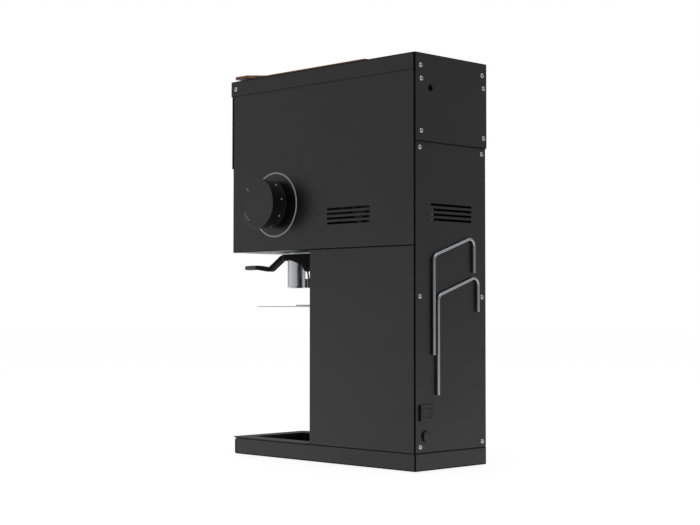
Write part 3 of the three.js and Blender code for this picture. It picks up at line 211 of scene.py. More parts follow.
# Drawn tube of the spout: brushed round and paler, its soft grain spreads the dark reflections.
brushedTube = {
    "dark": "#cfd1d3", "light": "#e2e4e6", "across": 0.7, "along": 60.0, "relief": (0.2, 0.01),
    "roughness": (0.24, 0.34),
}


def makePolishedSteel(name, look):
    material, tree, place, shader = startMaterial(name, Metallic=1.0)
    across, along = perMm(look["across"]), perMm(look["along"])
    stretched = addNode(tree, "ShaderNodeMapping", {"Scale": (across, across, along)}, {"Vector": place})
    dress(tree, shader, look, noise(tree, stretched.outputs["Vector"], 1.0, 2.0))
    return material


# Hot-dip galvanised sheet: zinc freezes into flat spangles, each catching the light its own way.
galvanised = {
    "dark": "#8b9094", "light": "#b4b8bb", "spangle": 9.0, "edges": (0.0, 1.0),
    "roughness": (0.3, 0.48),
}


def makeGalvanised(look):
    material, tree, place, shader = startMaterial("galvanisedSheetSteel", Metallic=1.0)
    spangle = addNode(tree, "ShaderNodeTexVoronoi", {"Scale": perMm(look["spangle"])}, {"Vector": place})
    value = addNode(tree, "ShaderNodeSeparateColor", links={"Color": spangle.outputs["Color"]})
    dress(tree, shader, look, value.outputs["Green"], value.outputs["Red"])
    return material


# Cast aluminium, as it leaves the mould: a matt skin with fine sand pits.
castAluminium = {
    "dark": "#83868a", "light": "#a1a4a7", "pit": 1.4, "edges": (0.35, 0.65), "relief": (0.5, 0.08),
    "roughness": (0.48, 0.62),
}

# Hardened tool steel, ground: darker and bluer than stainless, with a short grinding grain.
toolSteel = {
    "dark": "#5f6468", "light": "#7d8286", "pit": 0.8, "edges": (0.35, 0.65), "relief": (0.5, 0.02),
    "roughness": (0.24, 0.36),
}


def makePittedMetal(name, look):
    material, tree, place, shader = startMaterial(name, Metallic=1.0)
    dress(tree, shader, look, noise(tree, place, perMm(look["pit"]), 4.0))
    return material


# Moulded black ABS: a spark-eroded mould leaves an even fine texture with a satin shine.
mouldedAbs = {
    "dark": "#0e0e0f", "light": "#131314", "grain": 0.9, "relief": (0.4, 0.02),
    "roughness": (0.3, 0.38), "ior": 1.5,
}

# Moulded black rubber: matt, faintly dusty, with a slow mottle.
mouldedRubber = {
    "dark": "#0d0d0d", "light": "#181818", "grain": 2.2, "relief": (0.4, 0.04),
    "roughness": (0.68, 0.8), "ior": 1.52,
}

# Dark grey dipped PVC sleeve on the lever: satin and slightly soft.
greyVinyl = {
    "dark": "#2d2e30", "light": "#3a3b3d", "grain": 1.5, "relief": (0.4, 0.03),
    "roughness": (0.36, 0.46), "ior": 1.53,
}

# Screen-printed epoxy ink on the panel: matt light grey, with the slight unevenness of the squeegee.
printedInk = {
    "dark": "#88898b", "light": "#979899", "grain": 3.0, "relief": (0.4, 0.01),
    "roughness": (0.5, 0.6), "ior": 1.5,
}


def makeMoulded(name, look):
    material, tree, place, shader = startMaterial(
        name, IOR=look["ior"], Specular_IOR_Level=look.get("shine", 0.5))
    dress(tree, shader, look, noise(tree, place, perMm(look["grain"]), 3.0))
    return material


# Oiled walnut, planed and rubbed with oil: long figure along the board and short dark pores.
oiledWalnut = {
    "heart": "#5c3a24", "middle": "#835639", "sap": "#a3734d", "figureAcross": 26.0,
    "figureAlong": 240.0, "ring": 16.0, "poreAcross": 0.9, "poreAlong": 14.0,
    "roughness": (0.42, 0.58),
}


def makeWalnut(look):
    material, tree, place, shader = startMaterial("oiledWalnut", IOR=1.5)

    def stretch(across, along):
        scale = (perMm(look[across]), perMm(look[along]), perMm(look[across]))
        return addNode(tree, "ShaderNodeMapping", {"Scale": scale}, {"Vector": place}).outputs["Vector"]

    figure = noise(tree, stretch("figureAcross", "figureAlong"), 1.0, 4.0, Distortion=0.6)
    ring = addNode(
        tree, "ShaderNodeTexWave", {"Scale": 0.35, "Distortion": 9.0, "Detail": 3.0, "Detail Scale": 0.8},
        {"Vector": stretch("ring", "figureAlong")})
    pore = noise(tree, stretch("poreAcross", "poreAlong"), 1.0, 1.0)
    mixed = addNode(
        tree, "ShaderNodeMix", {"data_type": "FLOAT", "Factor": 0.25},
        {2: figure, 3: ring.outputs["Fac"]})
    tone = addNode(
        tree, "ShaderNodeValToRGB",
        {"stops": [(0.25, linear(look["heart"])), (0.75, linear(look["sap"])),
                   (0.5, linear(look["middle"]))]},
        {"Fac": mixed.outputs["Result"]})
    poreShade = addNode(
        tree, "ShaderNodeValToRGB", {"stops": [(0.34, grey(0.45)), (0.46, grey(1.0))]},
        {"Fac": pore})
    shaded = addNode(
        tree, "ShaderNodeMix", {"data_type": "RGBA", "blend_type": "MULTIPLY", "Factor": 0.7},
        {6: tone.outputs["Color"], 7: poreShade.outputs["Color"]})
    low, high = look["roughness"]
    rough = addNode(tree, "ShaderNodeMapRange", {"To Min": high, "To Max": low}, {"Value": pore})
    bump = addNode(
        tree, "ShaderNodeBump", {"Strength": 0.4, "Distance": 0.1 * mm},
        {"Height": poreShade.outputs["Color"]})
    tree.links.new(shaded.outputs["Result"], shader.inputs["Base Color"])
    tree.links.new(rough.outputs["Result"], shader.inputs["Roughness"])
    tree.links.new(bump.outputs["Normal"], shader.inputs["Normal"])
    return material


# Motor housing: cast iron dipped in black stoving enamel, dull under a film of coffee dust.
# The same dull black paints the shade in the seams and under the tray's flange; the dipped lips of the vents
# are as black and as dull.
motorEnamelAndSeamShade = {
    "dark": "#050505", "light": "#0a0909", "grain": 3.0, "relief": (0.4, 0.05),
    "roughness": (0.7, 0.85), "ior": 1.5, "shine": 0.2,
}

# Lever and pins: steel blackened in hot salts and oiled, a thin matt black with hardly any shine.
blackOxide = {
    "dark": "#040404", "light": "#080808",
    "grain": 0.7,         # bead-blast grit of 0.2 mm, drawn coarser so that it shows
    "relief": (0.4, 0.02), "roughness": (0.5, 0.6), "ior": 1.4,
    "shine": 0.12,        # the porous oxide film hardly reflects
}

finishes = {
    "body_paint": makePowderCoat("satinBlackPowderCoat", powderCoat, {}),
    "inner_steel": makeGalvanised(galvanised),
    "polished_steel": makePolishedSteel("polishedStainlessSteel", polishedSteel),
    "cast_alloy": makePittedMetal("castAluminium", castAluminium),
    "burr_steel": makePittedMetal("groundToolSteel", toolSteel),
    "black_plastic": makeMoulded("mouldedBlackAbs", mouldedAbs),
    "black_rubber": makeMoulded("mouldedBlackRubber", mouldedRubber),
    "lid_wood": makeWalnut(oiledWalnut),
}
# Painted shade: the bends and cut edges of the painted sheet take this near-black coat with hardly any gloss
paintedBendShade = makePowderCoat("paintedShadeOnBends", bendShadeCoat, {"Specular_IOR_Level": 0.08})
vinyl = makeMoulded("dippedGreyVinyl", greyVinyl)
ink = makeMoulded("printedGreyInk", printedInk)
oxide = makeMoulded("blackenedSteel", blackOxide)
enamelAndSeamShade = makeMoulded("blackMotorEnamelAndSeamShade", motorEnamelAndSeamShade)
wireSteel = makePolishedSteel("drawnSteelWire", drawnWire)
tubeSteel = makePolishedSteel("brushedStainlessTube", brushedTube)
print("materials made:", len(bpy.data.materials))


def startGroup(name):
    group = bpy.data.node_groups.new(name, "GeometryNodeTree")
    for way in ("INPUT", "OUTPUT"):
        group.interface.new_socket("Geometry", in_out=way, socket_type="NodeSocketGeometry")
    return group, addNode(group, "NodeGroupInput").outputs["Geometry"]


# A node group that shades round faces smooth and keeps edges sharper than the limit
def makeSmoothing(limitDegrees):
    group, source = startGroup("smoothByAngle")
    angle = addNode(group, "GeometryNodeInputMeshEdgeAngle")
    soft = addNode(
        group, "FunctionNodeCompare", {"operation": "LESS_THAN", 1: radians(limitDegrees)},
        {0: angle.outputs["Unsigned Angle"]})
    faces = addNode(
        group, "GeometryNodeSetShadeSmooth", {"domain": "FACE", "Shade Smooth": True}, {"Geometry": source})
    edges = addNode(
        group, "GeometryNodeSetShadeSmooth", {"domain": "EDGE"},
        {"Geometry": faces.outputs["Geometry"], "Shade Smooth": soft.outputs["Result"]})
    addNode(group, "NodeGroupOutput", links={"Geometry": edges.outputs["Geometry"]})
    return group


smoothing = makeSmoothing(35)


# A node group that gives the second material to faces that look along none of these axes, such as bends, so
# that they take the painted shade
def makeBendPick(name, limit, ways):
    group, source = startGroup(name)
    facing = addNode(group, "GeometryNodeInputNormal")
    size = addNode(group, "ShaderNodeVectorMath", {"operation": "ABSOLUTE"}, {0: facing.outputs["Normal"]})
    parts = addNode(group, "ShaderNodeSeparateXYZ", links={"Vector": size.outputs["Vector"]})
    most = parts.outputs[ways[0]]
    for way in ways[1:]:
        most = calc(group, "MAXIMUM", most, parts.outputs[way])
    bent = addNode(group, "FunctionNodeCompare", {"operation": "LESS_THAN", 1: limit}, {0: most})
    chosen = addNode(
        group, "GeometryNodeSetMaterialIndex", {"Material Index": 1},
        {"Geometry": source, "Selection": bent.outputs["Result"]})
    addNode(group, "NodeGroupOutput", links={"Geometry": chosen.outputs["Geometry"]})
    return group


bendPick = makeBendPick("pickBends", 0.985, "XYZ")
cornerPick = makeBendPick("pickCorners", 0.9, "XYZ")  # only the middle of a bend
rearEdgePick = makeBendPick("pickRearEdges", 0.9, "Y")  # a rear panel's bends and its cut edges


# Rounds a piece's hard edges and shades it smooth, with modifiers alone; a bend pick gives the picked faces
# the painted bend shade
def soften(obj, edge=0.0, merge=False, bends=None):
    if merge:
        obj.modifiers.new("weld", "WELD").merge_threshold = 0.01 * mm
    if edge:
        bevel = obj.modifiers.new("edge", "BEVEL")
        bevel.width = edge * mm
        bevel.segments = 2
        bevel.limit_method = "ANGLE"
        bevel.angle_limit = radians(40)
        bevel.miter_outer = "MITER_ARC"
    if bends:
        obj.modifiers.new("bends", "NODES").node_group = bends
    obj.modifiers.new("smooth", "NODES").node_group = smoothing
    obj.modifiers.new("normals", "WEIGHTED_NORMAL").keep_sharp = True


def giveMaterial(obj, material):
    obj.data.materials.clear()
    obj.data.materials.append(material)


# Edge rounds of the carried-over solids, mm; sheet metal is 1.5 thick, so its cut edges take little
edgeRounds = {
    "body_paint": 0.25, "inner_steel": 0.2, "polished_steel": 0.25, "cast_alloy": 0.8,
    "burr_steel": 0.0, "black_plastic": 0.5, "black_rubber": 0.4, "lid_wood": 0.9,
}
for part in frame["record"]["subparts"]:
    solid = frame["nodes"][part["node"]]
    giveMaterial(solid, finishes[part["material_slot"]])
    # Painted shade: painted panels, but not the tray, take the near-black coat on their bends, and rear
    # panels on their cut edges too
    bends = None
    if part["material_slot"] == "body_paint" and part["node"] != "grounds_tray":
        solid.data.materials.append(paintedBendShade)
        bends = bendPick
        if part["node"].startswith("rear_panel"):
            bends = rearEdgePick
        if part["node"].endswith(("side_right", "side_left")):
            bends = cornerPick
    soften(solid, edgeRounds[part["material_slot"]], True, bends)
for name in ("clamp_lever", "lever_pin", "jaw_pin", "clamp_spring"):
    giveMaterial(frame["nodes"][name], oxide)
giveMaterial(frame["nodes"]["motor_housing"], enamelAndSeamShade)
giveMaterial(frame["nodes"]["clamp_bracket"], finishes["polished_steel"])
giveMaterial(frame["nodes"]["clamp_jaw"], finishes["burr_steel"])
print("solids dressed:", len(frame["nodes"]))


# A new piece from points in metres: its material, the body that carries it and what it stands for
def addPiece(name, points, faces, slot, body, replaces=(), material=None):
    mesh = bpy.data.meshes.new(name)
    mesh.from_pydata([tuple(point) for point in points], [], faces)
    work = bmesh.new()
    work.from_mesh(mesh)
    bmesh.ops.recalc_face_normals(work, faces=work.faces)
    work.to_mesh(mesh)
    work.free()
    obj = addObject(name, mesh)
    giveMaterial(obj, material or finishes[slot])
    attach(obj, body)
    if replaces:
        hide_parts(*replaces)
    return obj


# A new piece from a skin of points and faces, its edges softened
def addSkin(name, skin, slot, body, replaces=(), material=None, edge=0.0):
    soften(addPiece(name, *skin, slot, body, replaces, material), edge)


# Points and faces of a profile of (radius, along) turned round an axis through centre, all in metres
def turned(profile, axis, centre, steps, closed=False):
    ahead = Vector(axis).normalized()
    side = ahead.orthogonal().normalized()
    if abs(ahead.z) < 0.5:
        side = Vector((0, 0, 1))
    other = ahead.cross(side)
    points, rings = [], []
    for radius, along in profile:
        start = len(points)
        count = steps if radius > 1e-9 else 1
        for i in range(count):
            angle = 2 * pi * i / steps
            out = side * cos(angle) + other * sin(angle)
            points.append(Vector(centre) + ahead * along + out * radius)
        rings.append((start, count))
    faces = []
    pairs = list(zip(rings, rings[1:])) + ([(rings[-1], rings[0])] if closed else [])
    for (a, countA), (b, countB) in pairs:
        for i in range(steps):
            j = (i + 1) % steps
            ring = [a + i % countA, a + j % countA, b + j % countB, b + i % countB]
            face = list(dict.fromkeys(ring))
            if len(face) > 2:
                faces.append(face)
    return points, faces


# A quarter round at an edge of a turned profile: back in from the wall, or on the way out to it
def quarterRound(radius, along, edge, steps=4, outward=False):
    turns = [i * pi / 2 / steps for i in range(steps + 1)]
    if outward:
        return [(radius - edge + edge * sin(a), along + edge - edge * cos(a)) for a in turns]
    return [(radius - edge + edge * cos(a), along - edge + edge * sin(a)) for a in turns]


# A path of corners with each inner corner turned into an arc
def bentPath(corners, radius, steps):
    path = [Vector(corners[0])]
    for before, corner, after in zip(corners, corners[1:], corners[2:]):
        corner = Vector(corner)
        back = (Vector(before) - corner).normalized()
        on = (Vector(after) - corner).normalized()
        half = back.angle(on) / 2
        reach = radius / tan(half)
        centre = corner + (back + on).normalized() * (radius / sin(half))
        first = corner + back * reach - centre
        last = corner + on * reach - centre
        sweepAngle = first.angle(last)
        for i in range(steps + 1):
            t = i / steps
            spot = first * sin((1 - t) * sweepAngle) + last * sin(t * sweepAngle)
            path.append(centre + spot / sin(sweepAngle))
    path.append(Vector(corners[-1]))
    return path


# Joins loops of equal count into a skin; the last loop is filled, and the first too when asked
def loft(loops, fillFirst=False, fillLast=True):
    count = len(loops[0])
    points = [point for loop in loops for point in loop]
    faces = []
    for row in range(len(loops) - 1):
        for i in range(count):
            j = (i + 1) % count
            faces.append([row * count + i, row * count + j, (row + 1) * count + j, (row + 1) * count + i])
    if fillFirst:
        faces.append(list(range(count)))
    if fillLast:
        faces.append([(len(loops) - 1) * count + i for i in range(count)])
    return points, faces


# Several skins as one
def together(skins):
    points, faces = [], []
    for more, rings in skins:
        faces += [[len(points) + k for k in ring] for ring in rings]
        points += more
    return points, faces


# The directions from each spot of a path to the next, even at its bends
def headings(path):
    last = len(path) - 1
    return [(path[min(i + 1, last)] - path[max(i - 1, 0)]).normalized() for i in range(len(path))]


# A round wire along a path in one plane, its cut ends rounded over
def wire(path, plane, radius, sides, endRound):
    across = Vector(plane).normalized()
    ways = headings(path)
    cap = [(sin(a), cos(a)) for a in (pi / 8, pi / 4, 3 * pi / 8)]
    start, end = ways[0], ways[-1]
    rows = [(path[0] + start * endRound * (1 - s), start, radius - endRound * (1 - c))
            for s, c in reversed(cap)]
    rows += [(path[0] + start * endRound, start, radius)]
    rows += [(spot, way, radius) for spot, way in zip(path[1:-1], ways[1:-1])]
    rows += [(path[-1] - end * endRound, end, radius)]
    rows += [(path[-1] - end * endRound * (1 - s), end, radius - endRound * (1 - c)) for s, c in cap]
    loops = []
    for spot, ahead, r in rows:
        up = ahead.cross(across).normalized()
        turns = [2 * pi * i / sides for i in range(sides)]
        loops.append([spot + (across * cos(turn) + up * sin(turn)) * r for turn in turns])
    return loft(loops, fillFirst=True)


# Grind knob: a deep moulded cap on its spindle, with light dots round its wall
knobLook = {
    "edge": 0.6, "rearEdge": 0.5, "dishDepth": 0.5, "dishRim": 3.0, "steps": 96,
    "rearReach": 4.2,       # the moulding's skirt, behind the plain solid
    "taper": 1.7,           # the rear is this much smaller in radius than the face
    "hollow": 24.0, "hollowDepth": 12.0, "hollowSlope": 4.0,
    "hollowFloor": 0.3,     # share of the hollow's radius
    "bandWide": 1.2, "bandDeep": 1.5, "bandLap": 0.1, "bandProud": (0.15, 0.2),
    "dotCount": 9, "dotPitch": 40.0, "dotTurn": 8.7, "dotSteps": 24,
    "dotOut": 6.4,          # from the rear rim to the dots' middle
    "dotRadius": 2.0, "dotProud": 0.35, "dotFoot": 1.0,
    "dotShoulder": (0.7, 0.8),  # shares of the dot's radius and height
}
knobLow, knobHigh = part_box("grind_knob")
knobAxis = Vector((0, (knobLow.y + knobHigh.y) / 2, (knobLow.z + knobHigh.z) / 2))
knobFaceRadius = (knobHigh.y - knobLow.y) / 2
knobRearRadius = knobFaceRadius - knobLook["taper"] * mm


def makeKnob(look):
    rear, face = knobLow.x - look["rearReach"] * mm, knobHigh.x
    edge, back, dish = metres(look, "edge", "rearEdge", "dishDepth")
    rim = knobFaceRadius - edge - look["dishRim"] * mm
    hollow, deep, slope = metres(look, "hollow", "hollowDepth", "hollowSlope")
    profile = [(0, rear + deep), (hollow * look["hollowFloor"], rear + deep), (hollow, rear + deep),
               (hollow + slope, rear)]
    profile += quarterRound(knobRearRadius, rear, back, outward=True)
    profile += quarterRound(knobFaceRadius, face, edge)
    profile += [(rim, face), (rim - dish, face - dish), (0, face - dish)]
    addSkin("knob_cap", turned(profile, (1, 0, 0), knobAxis, look["steps"]), "black_plastic", "knob",
            ["grind_knob"])
    # Painted shade: a black rubber band round the rear rim draws the shadow line of the gap between knob and
    # panel
    wide, deep, lap = metres(look, "bandWide", "bandDeep", "bandLap")
    inner = knobRearRadius - deep
    first, last = (knobRearRadius + proud * mm for proud in look["bandProud"])
    profile = [(inner, rear - lap), (first, rear - lap), (last, rear + wide), (inner, rear + wide)]
    addSkin("knob_rear_shade_band", turned(profile, (1, 0, 0), knobAxis, look["steps"], closed=True),
            "black_rubber", "knob")
    x = knobLow.x + look["dotOut"] * mm
    wall = knobRearRadius + (knobFaceRadius - knobRearRadius) * (x - rear) / (face - rear)
    r, proud, foot = metres(look, "dotRadius", "dotProud", "dotFoot")
    out, up = look["dotShoulder"]
    profile = [(0, proud), (r * out, proud * up), (r, 0), (r, -foot), (0, -foot)]
    for i in range(look["dotCount"]):
        angle = radians(look["dotTurn"] + i * look["dotPitch"])
        out = Vector((0, cos(angle), sin(angle)))
        centre = Vector((x, knobAxis.y, knobAxis.z)) + out * wall
        addSkin(f"knob_dot_{i + 1}", turned(profile, out, centre, look["dotSteps"]), "black_plastic", "knob",
                material=ink)


makeKnob(knobLook)

# Marks printed on the knob's face: an index line and a plain row of ticks for finer and coarser
faceMarks = {
    "index": {"out": (30.0, 37.5), "wide": 1.1, "turn": 132.0},
    "ticks": {"out": 35.0, "count": 7, "step": 4.6, "turn": 222.0, "wide": 0.8, "short": 2.2, "long": 4.0},
    "proud": 0.08,
    "sunk": 0.1,
}


def makeFaceMarks(look):
    face = knobHigh.x - knobLook["dishDepth"] * mm
    index, ticks = look["index"], look["ticks"]
    lines = [(index["turn"], *index["out"], index["wide"])]
    for i in range(ticks["count"]):
        length = ticks["long"] if i % 3 == 0 else ticks["short"]
        turn = ticks["turn"] + (i - ticks["count"] // 2) * ticks["step"]
        lines.append((turn, ticks["out"] - length, ticks["out"], ticks["wide"]))
    skins = []
    for turn, near, far, wide in lines:
        angle = radians(turn)
        out = Vector((0, cos(angle), sin(angle)))
        across = Vector((0, -sin(angle), cos(angle)))
        corners = ((near, -wide), (far, -wide), (far, wide), (near, wide))
        loops = [[Vector((x, knobAxis.y, knobAxis.z)) + out * reach * mm + across * off / 2 * mm
                  for reach, off in corners] for x in (face - look["sunk"] * mm, face + look["proud"] * mm)]
        skins.append(loft(loops, fillFirst=True))
    addPiece("knob_face_marks", *together(skins), "black_plastic", "knob", material=ink)


makeFaceMarks(faceMarks)

# Printed ring on the side panel, round the knob
ringLook = {"radius": 55.1, "width": 3.0, "proud": 0.12, "steps": 128}


def makeRing(look):
    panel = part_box("head_side_right")[1].x
    centre = Vector((panel, knobAxis.y, knobAxis.z))
    inner, outer = ((look["radius"] + side * look["width"] / 2) * mm for side in (-1, 1))
    proud = look["proud"] * mm
    profile = [(inner, -proud), (inner, proud), (outer, proud), (outer, -proud)]
    addSkin("grind_scale_ring", turned(profile, (1, 0, 0), centre, look["steps"], closed=True), "body_paint",
            "body", material=ink)


makeRing(ringLook)
print("knob and ring made")

# Spout: drawn stainless tube with a rolled lower lip
spoutLook = {"wall": 1.5, "lipProud": 0.4, "lipTall": 3.0, "steps": 72}


def makeSpout(look):
    low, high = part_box("outlet_spout")
    centre = Vector(((low.x + high.x) / 2, (low.y + high.y) / 2, 0))
    r = (high.x - low.x) / 2
    wall, lip, tall = metres(look, "wall", "lipProud", "lipTall")
    inner = r - wall
    arc = [pi * i / 8 for i in range(9)]
    profile = [(inner, high.z), (inner, low.z + tall)]
    half = wall / 2
    profile += [((r + inner) / 2 - half * cos(a), low.z + half - half * sin(a)) for a in arc]
    profile += [(r + lip * sin(a), low.z + wall / 2 + tall * i / 8) for i, a in enumerate(arc)][1:]
    profile += [(r, high.z)]
    addSkin("spout_tube", turned(profile, (0, 0, 1), centre, look["steps"], closed=True), "polished_steel",
            "body", ["outlet_spout"], tubeSteel)


makeSpout(spoutLook)

# Lever grip: a dipped vinyl sleeve, swelled a little at its middle and rounded at its tip
gripLook = {"swell": 0.35, "endRound": 3.0, "mouthRound": 0.8, "roundSteps": 5, "steps": 40, "rows": 14}


def makeGrip(look):
    low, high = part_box("lever_grip")
    centre = Vector(((low.x + high.x) / 2, 0, (low.z + high.z) / 2))
    r = (high.x - low.x) / 2
    tip, mouth = metres(look, "endRound", "mouthRound")
    swell = look["swell"] * mm
    steps = look["roundSteps"]
    profile = [(0, low.y)] + quarterRound(r - swell, low.y, tip, steps, outward=True)
    start, end = low.y + tip, high.y - mouth
    for i in range(1, look["rows"]):
        t = i / look["rows"]
        profile.append((r - swell + swell * sin(pi * t), start + (end - start) * t))
    profile += quarterRound(r - swell, high.y, mouth, steps) + [(0, high.y)]
    addSkin("vinyl_grip", turned(profile, (0, 1, 0), centre, look["steps"]), "black_plastic", "lever",
            ["lever_grip"], vinyl)


makeGrip(gripLook)
print("spout and lever grip made")

# Mains switch frame: a shallow snap-in frame with its well, and the housing behind the panel
switchLook = {
    "proud": 3.6, "trim": 1.4, "edge": 0.4, "well": 3.2, "neck": 1.5,
    "gap": 0.4, "swingGap": 1.0,       # above and below the rocker, and at the sides that it swings to
}


def makeSwitchFrame(look):
    low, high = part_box("mains_switch_body")
    rockLow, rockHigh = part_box("mains_rocker")
    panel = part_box("rear_panel_lower")[1].y
    face = panel + look["proud"] * mm
    x0, x1 = low.x, high.x - look["trim"] * mm
    gap, well, swing = metres(look, "gap", "well", "swingGap")
    neck = look["neck"] * mm
    behind = (x0 + neck, x1 - neck, low.z + neck, high.z - neck)
    front = (x0, x1, low.z, high.z)
    opening = (rockLow.x - swing, rockHigh.x + swing, rockLow.z - gap, rockHigh.z + gap)
    rows = [(low.y, behind), (panel, behind), (panel, front), (face, front), (face, opening),
            (face - well, opening)]
    loops = [[(a, y, c), (b, y, c), (b, y, d), (a, y, d)] for y, (a, b, c, d) in rows]
    addSkin("switch_frame", loft(loops, fillFirst=True), "black_plastic", "body", ["mains_switch_body"],
            edge=look["edge"])


makeSwitchFrame(switchLook)

# Gland where the mains lead would leave: a low moulded collar with a domed blank in it
glandLook = {
    "radius": 9.4, "neck": 0.75, "proud": 3.5, "shift": -1.6, "lift": 0.6, "edge": 0.8, "lip": 2.2,
    "step": 0.3, "sink": 0.5, "steps": 48,
    "dome": ((0.6, 0.8), (0.0, 0.6)),       # shares of the inner radius and of the sink
}


def makeGland(look):
    low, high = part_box("cord_gland")
    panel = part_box("rear_panel_lower")[1].y
    r, edge = metres(look, "radius", "edge")
    face = look["proud"] * mm
    x, z = (low.x + high.x) / 2 + look["shift"] * mm, (low.z + high.z) / 2 + look["lift"] * mm
    centre = Vector((x, panel, z))
    neck = r * look["neck"]
    profile = [(0, low.y - panel), (neck, low.y - panel), (neck, 0), (r, 0)]
    inner = r - look["lip"] * mm
    step, sink = metres(look, "step", "sink")
    profile += quarterRound(r, face, edge) + [(inner, face), (inner - step, face - sink)]
    profile += [(inner * share, face - sink * drop) for share, drop in look["dome"]]
    addSkin("gland_collar", turned(profile, (0, 1, 0), centre, look["steps"]), "black_plastic", "body",
            ["cord_gland"])


makeGland(glandLook)
print("switch frame and gland made")

# Clamp lever: flat bar bent twice, welded to a fork whose cheeks narrow before the pin's boss
leverLook = {
    "barWide": 12.0, "barDeep": 8.0, "bend": 10.0, "bendSteps": 8,
    # places ahead of the pin and above it
    "line": ((76.0, 16.5), (84.0, 16.5), (118.3, -5.0), (152.0, -0.7), (155.5, -0.7)),
    "cheek": 3.0, "bowAhead": 56.0, "bowSteps": 24, "top": 20.5, "boss": 11.5, "bossSteps": 12,
    "under": ((9.6, -6.3), (15.0, 0.4), (24.0, 4.4), (34.0, 7.2), (42.0, 9.3), (50.0, 10.4), (56.0, 9.9)),
    "edge": 0.5,
}


def makeLever(look):
    pinLow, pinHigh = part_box("lever_pin")
    pin = (pinLow + pinHigh) / 2
    half = (pinHigh.x - pinLow.x) / 2
    boss, top = look["boss"], look["top"]

    def heights(ahead):
        if ahead < look["under"][0][0]:
            reach = sqrt(max(boss * boss - ahead * ahead, 0.04))
            return -reach, (top if ahead > 0 else reach + (top - boss) * (1 + ahead / boss))
        for (a, low), (b, nextLow) in zip(look["under"], look["under"][1:]):
            if ahead <= b:
                return low + (nextLow - low) * (ahead - a) / (b - a), top
        return look["under"][-1][1], top

    side = [-boss * cos(pi / 2 * i / look["bossSteps"]) for i in range(look["bossSteps"])]
    side += [i * look["under"][0][0] / 6 for i in range(6)]
    spans = zip(look["under"], look["under"][1:])
    side += [a + (b - a) * i / 4 for (a, _), (b, _) in spans for i in range(4)]
    stations = [(half, ahead, 1.0, 0.0, *heights(ahead)) for ahead in side]
    for i in range(look["bowSteps"] + 1):
        turn = pi * i / look["bowSteps"]
        outX, outAhead = cos(turn), sin(turn)
        ahead = look["bowAhead"] + half / mm * outAhead
        stations.append((half * outX, ahead, outX, outAhead, look["under"][-1][1], top))
    stations += [(-half, ahead, -1.0, 0.0, *heights(ahead)) for ahead in reversed(side)]
    fork = []
    for x, ahead, outX, outAhead, low, high in stations:
        section = ((0.0, low), (0.0, high), (look["cheek"], high), (look["cheek"], low))
        fork.append([pin + Vector((x - outX * depth * mm, (outAhead * depth - ahead) * mm, z * mm))
                     for depth, z in section])
    wide, deep = look["barWide"] / 2 * mm, look["barDeep"] / 2 * mm
    corners = [pin + Vector((0, -a * mm, z * mm)) for a, z in look["line"]]
    path = bentPath(corners, look["bend"] * mm, look["bendSteps"])
    bar = []
    for spot, way in zip(path, headings(path)):
        up = way.cross(Vector((1, 0, 0))).normalized()
        bar.append([spot + Vector((a * wide, 0, 0)) + up * b * deep
                    for a, b in ((-1, -1), (1, -1), (1, 1), (-1, 1))])
    skin = together([loft(fork, fillFirst=True), loft(bar, fillFirst=True)])
    addSkin("lever_fork_and_bar", skin, "body_paint", "lever", ["clamp_lever"], oxide, look["edge"])


makeLever(leverLook)
print("clamp lever made")

# Wire racks: bright round wire, bent and spot-welded to short studs
rackLook = {
    "wire": 5.0, "bend": 11.0, "bendSteps": 10, "sides": 24, "endRound": 0.8,
    "longLeg": 159.0, "rise": 33.0, "shortLeg": 59.0, "stud": 3.2, "studInset": 22.0, "studSteps": 20,
}


def makeRack(node, look):
    low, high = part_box(node)
    r = look["wire"] / 2 * mm
    y = high.y - r
    longX, shortX = high.x - r, low.x + r
    longTop = Vector((longX, y, low.z + look["longLeg"] * mm))
    shortTop = Vector((shortX, y, longTop.z + look["rise"] * mm))
    longFoot = Vector((longX, y, low.z))
    shortFoot = Vector((shortX, y, shortTop.z - look["shortLeg"] * mm))
    path = bentPath([longFoot, longTop, shortTop, shortFoot], look["bend"] * mm, look["bendSteps"])
    name = node.replace("wire_", "")
    addSkin(f"{name}_wire", wire(path, (0, 1, 0), r, look["sides"], look["endRound"] * mm), "polished_steel",
            "body", [node], wireSteel)
    inset = Vector((0, 0, look["studInset"] * mm))
    studRadius = look["stud"] / 2 * mm
    profile = [(0, low.y), (studRadius, low.y), (studRadius, y), (0, y)]
    for i, foot in enumerate((longFoot + inset, longTop - inset, shortFoot + inset)):
        stud = turned(profile, (0, 1, 0), Vector((foot.x, 0, foot.z)), look["studSteps"])
        addSkin(f"{name}_stud_{i + 1}", stud, "polished_steel", "body", material=wireSteel)


makeRack("wire_rack_upper", rackLook)
makeRack("wire_rack_lower", rackLook)
print("wire racks made")

# Button-head screws with a hexagon socket, 8 mm heads
screwLook = {
    "head": 8.0, "rise": 1.7, "crown": 5.2, "socket": 3.0, "socketDepth": 1.4, "steps": 24,
    "rearInset": 11.5, "rearHeights": (646.0, 515.1, 277.8, 40.1),
    "upperInset": 13.0, "upperHeights": (624.8, 541.4),
    "upperShift": 4.7,      # the left ones stand this much further out
    "skirtInset": 14.0, "skirtDrop": 14.6, "foot": 0.2, "rim": 0.15,
    "mouth": 1.12, "mouthDeep": 0.2,    # the socket's widened mouth, as a share and in mm
}


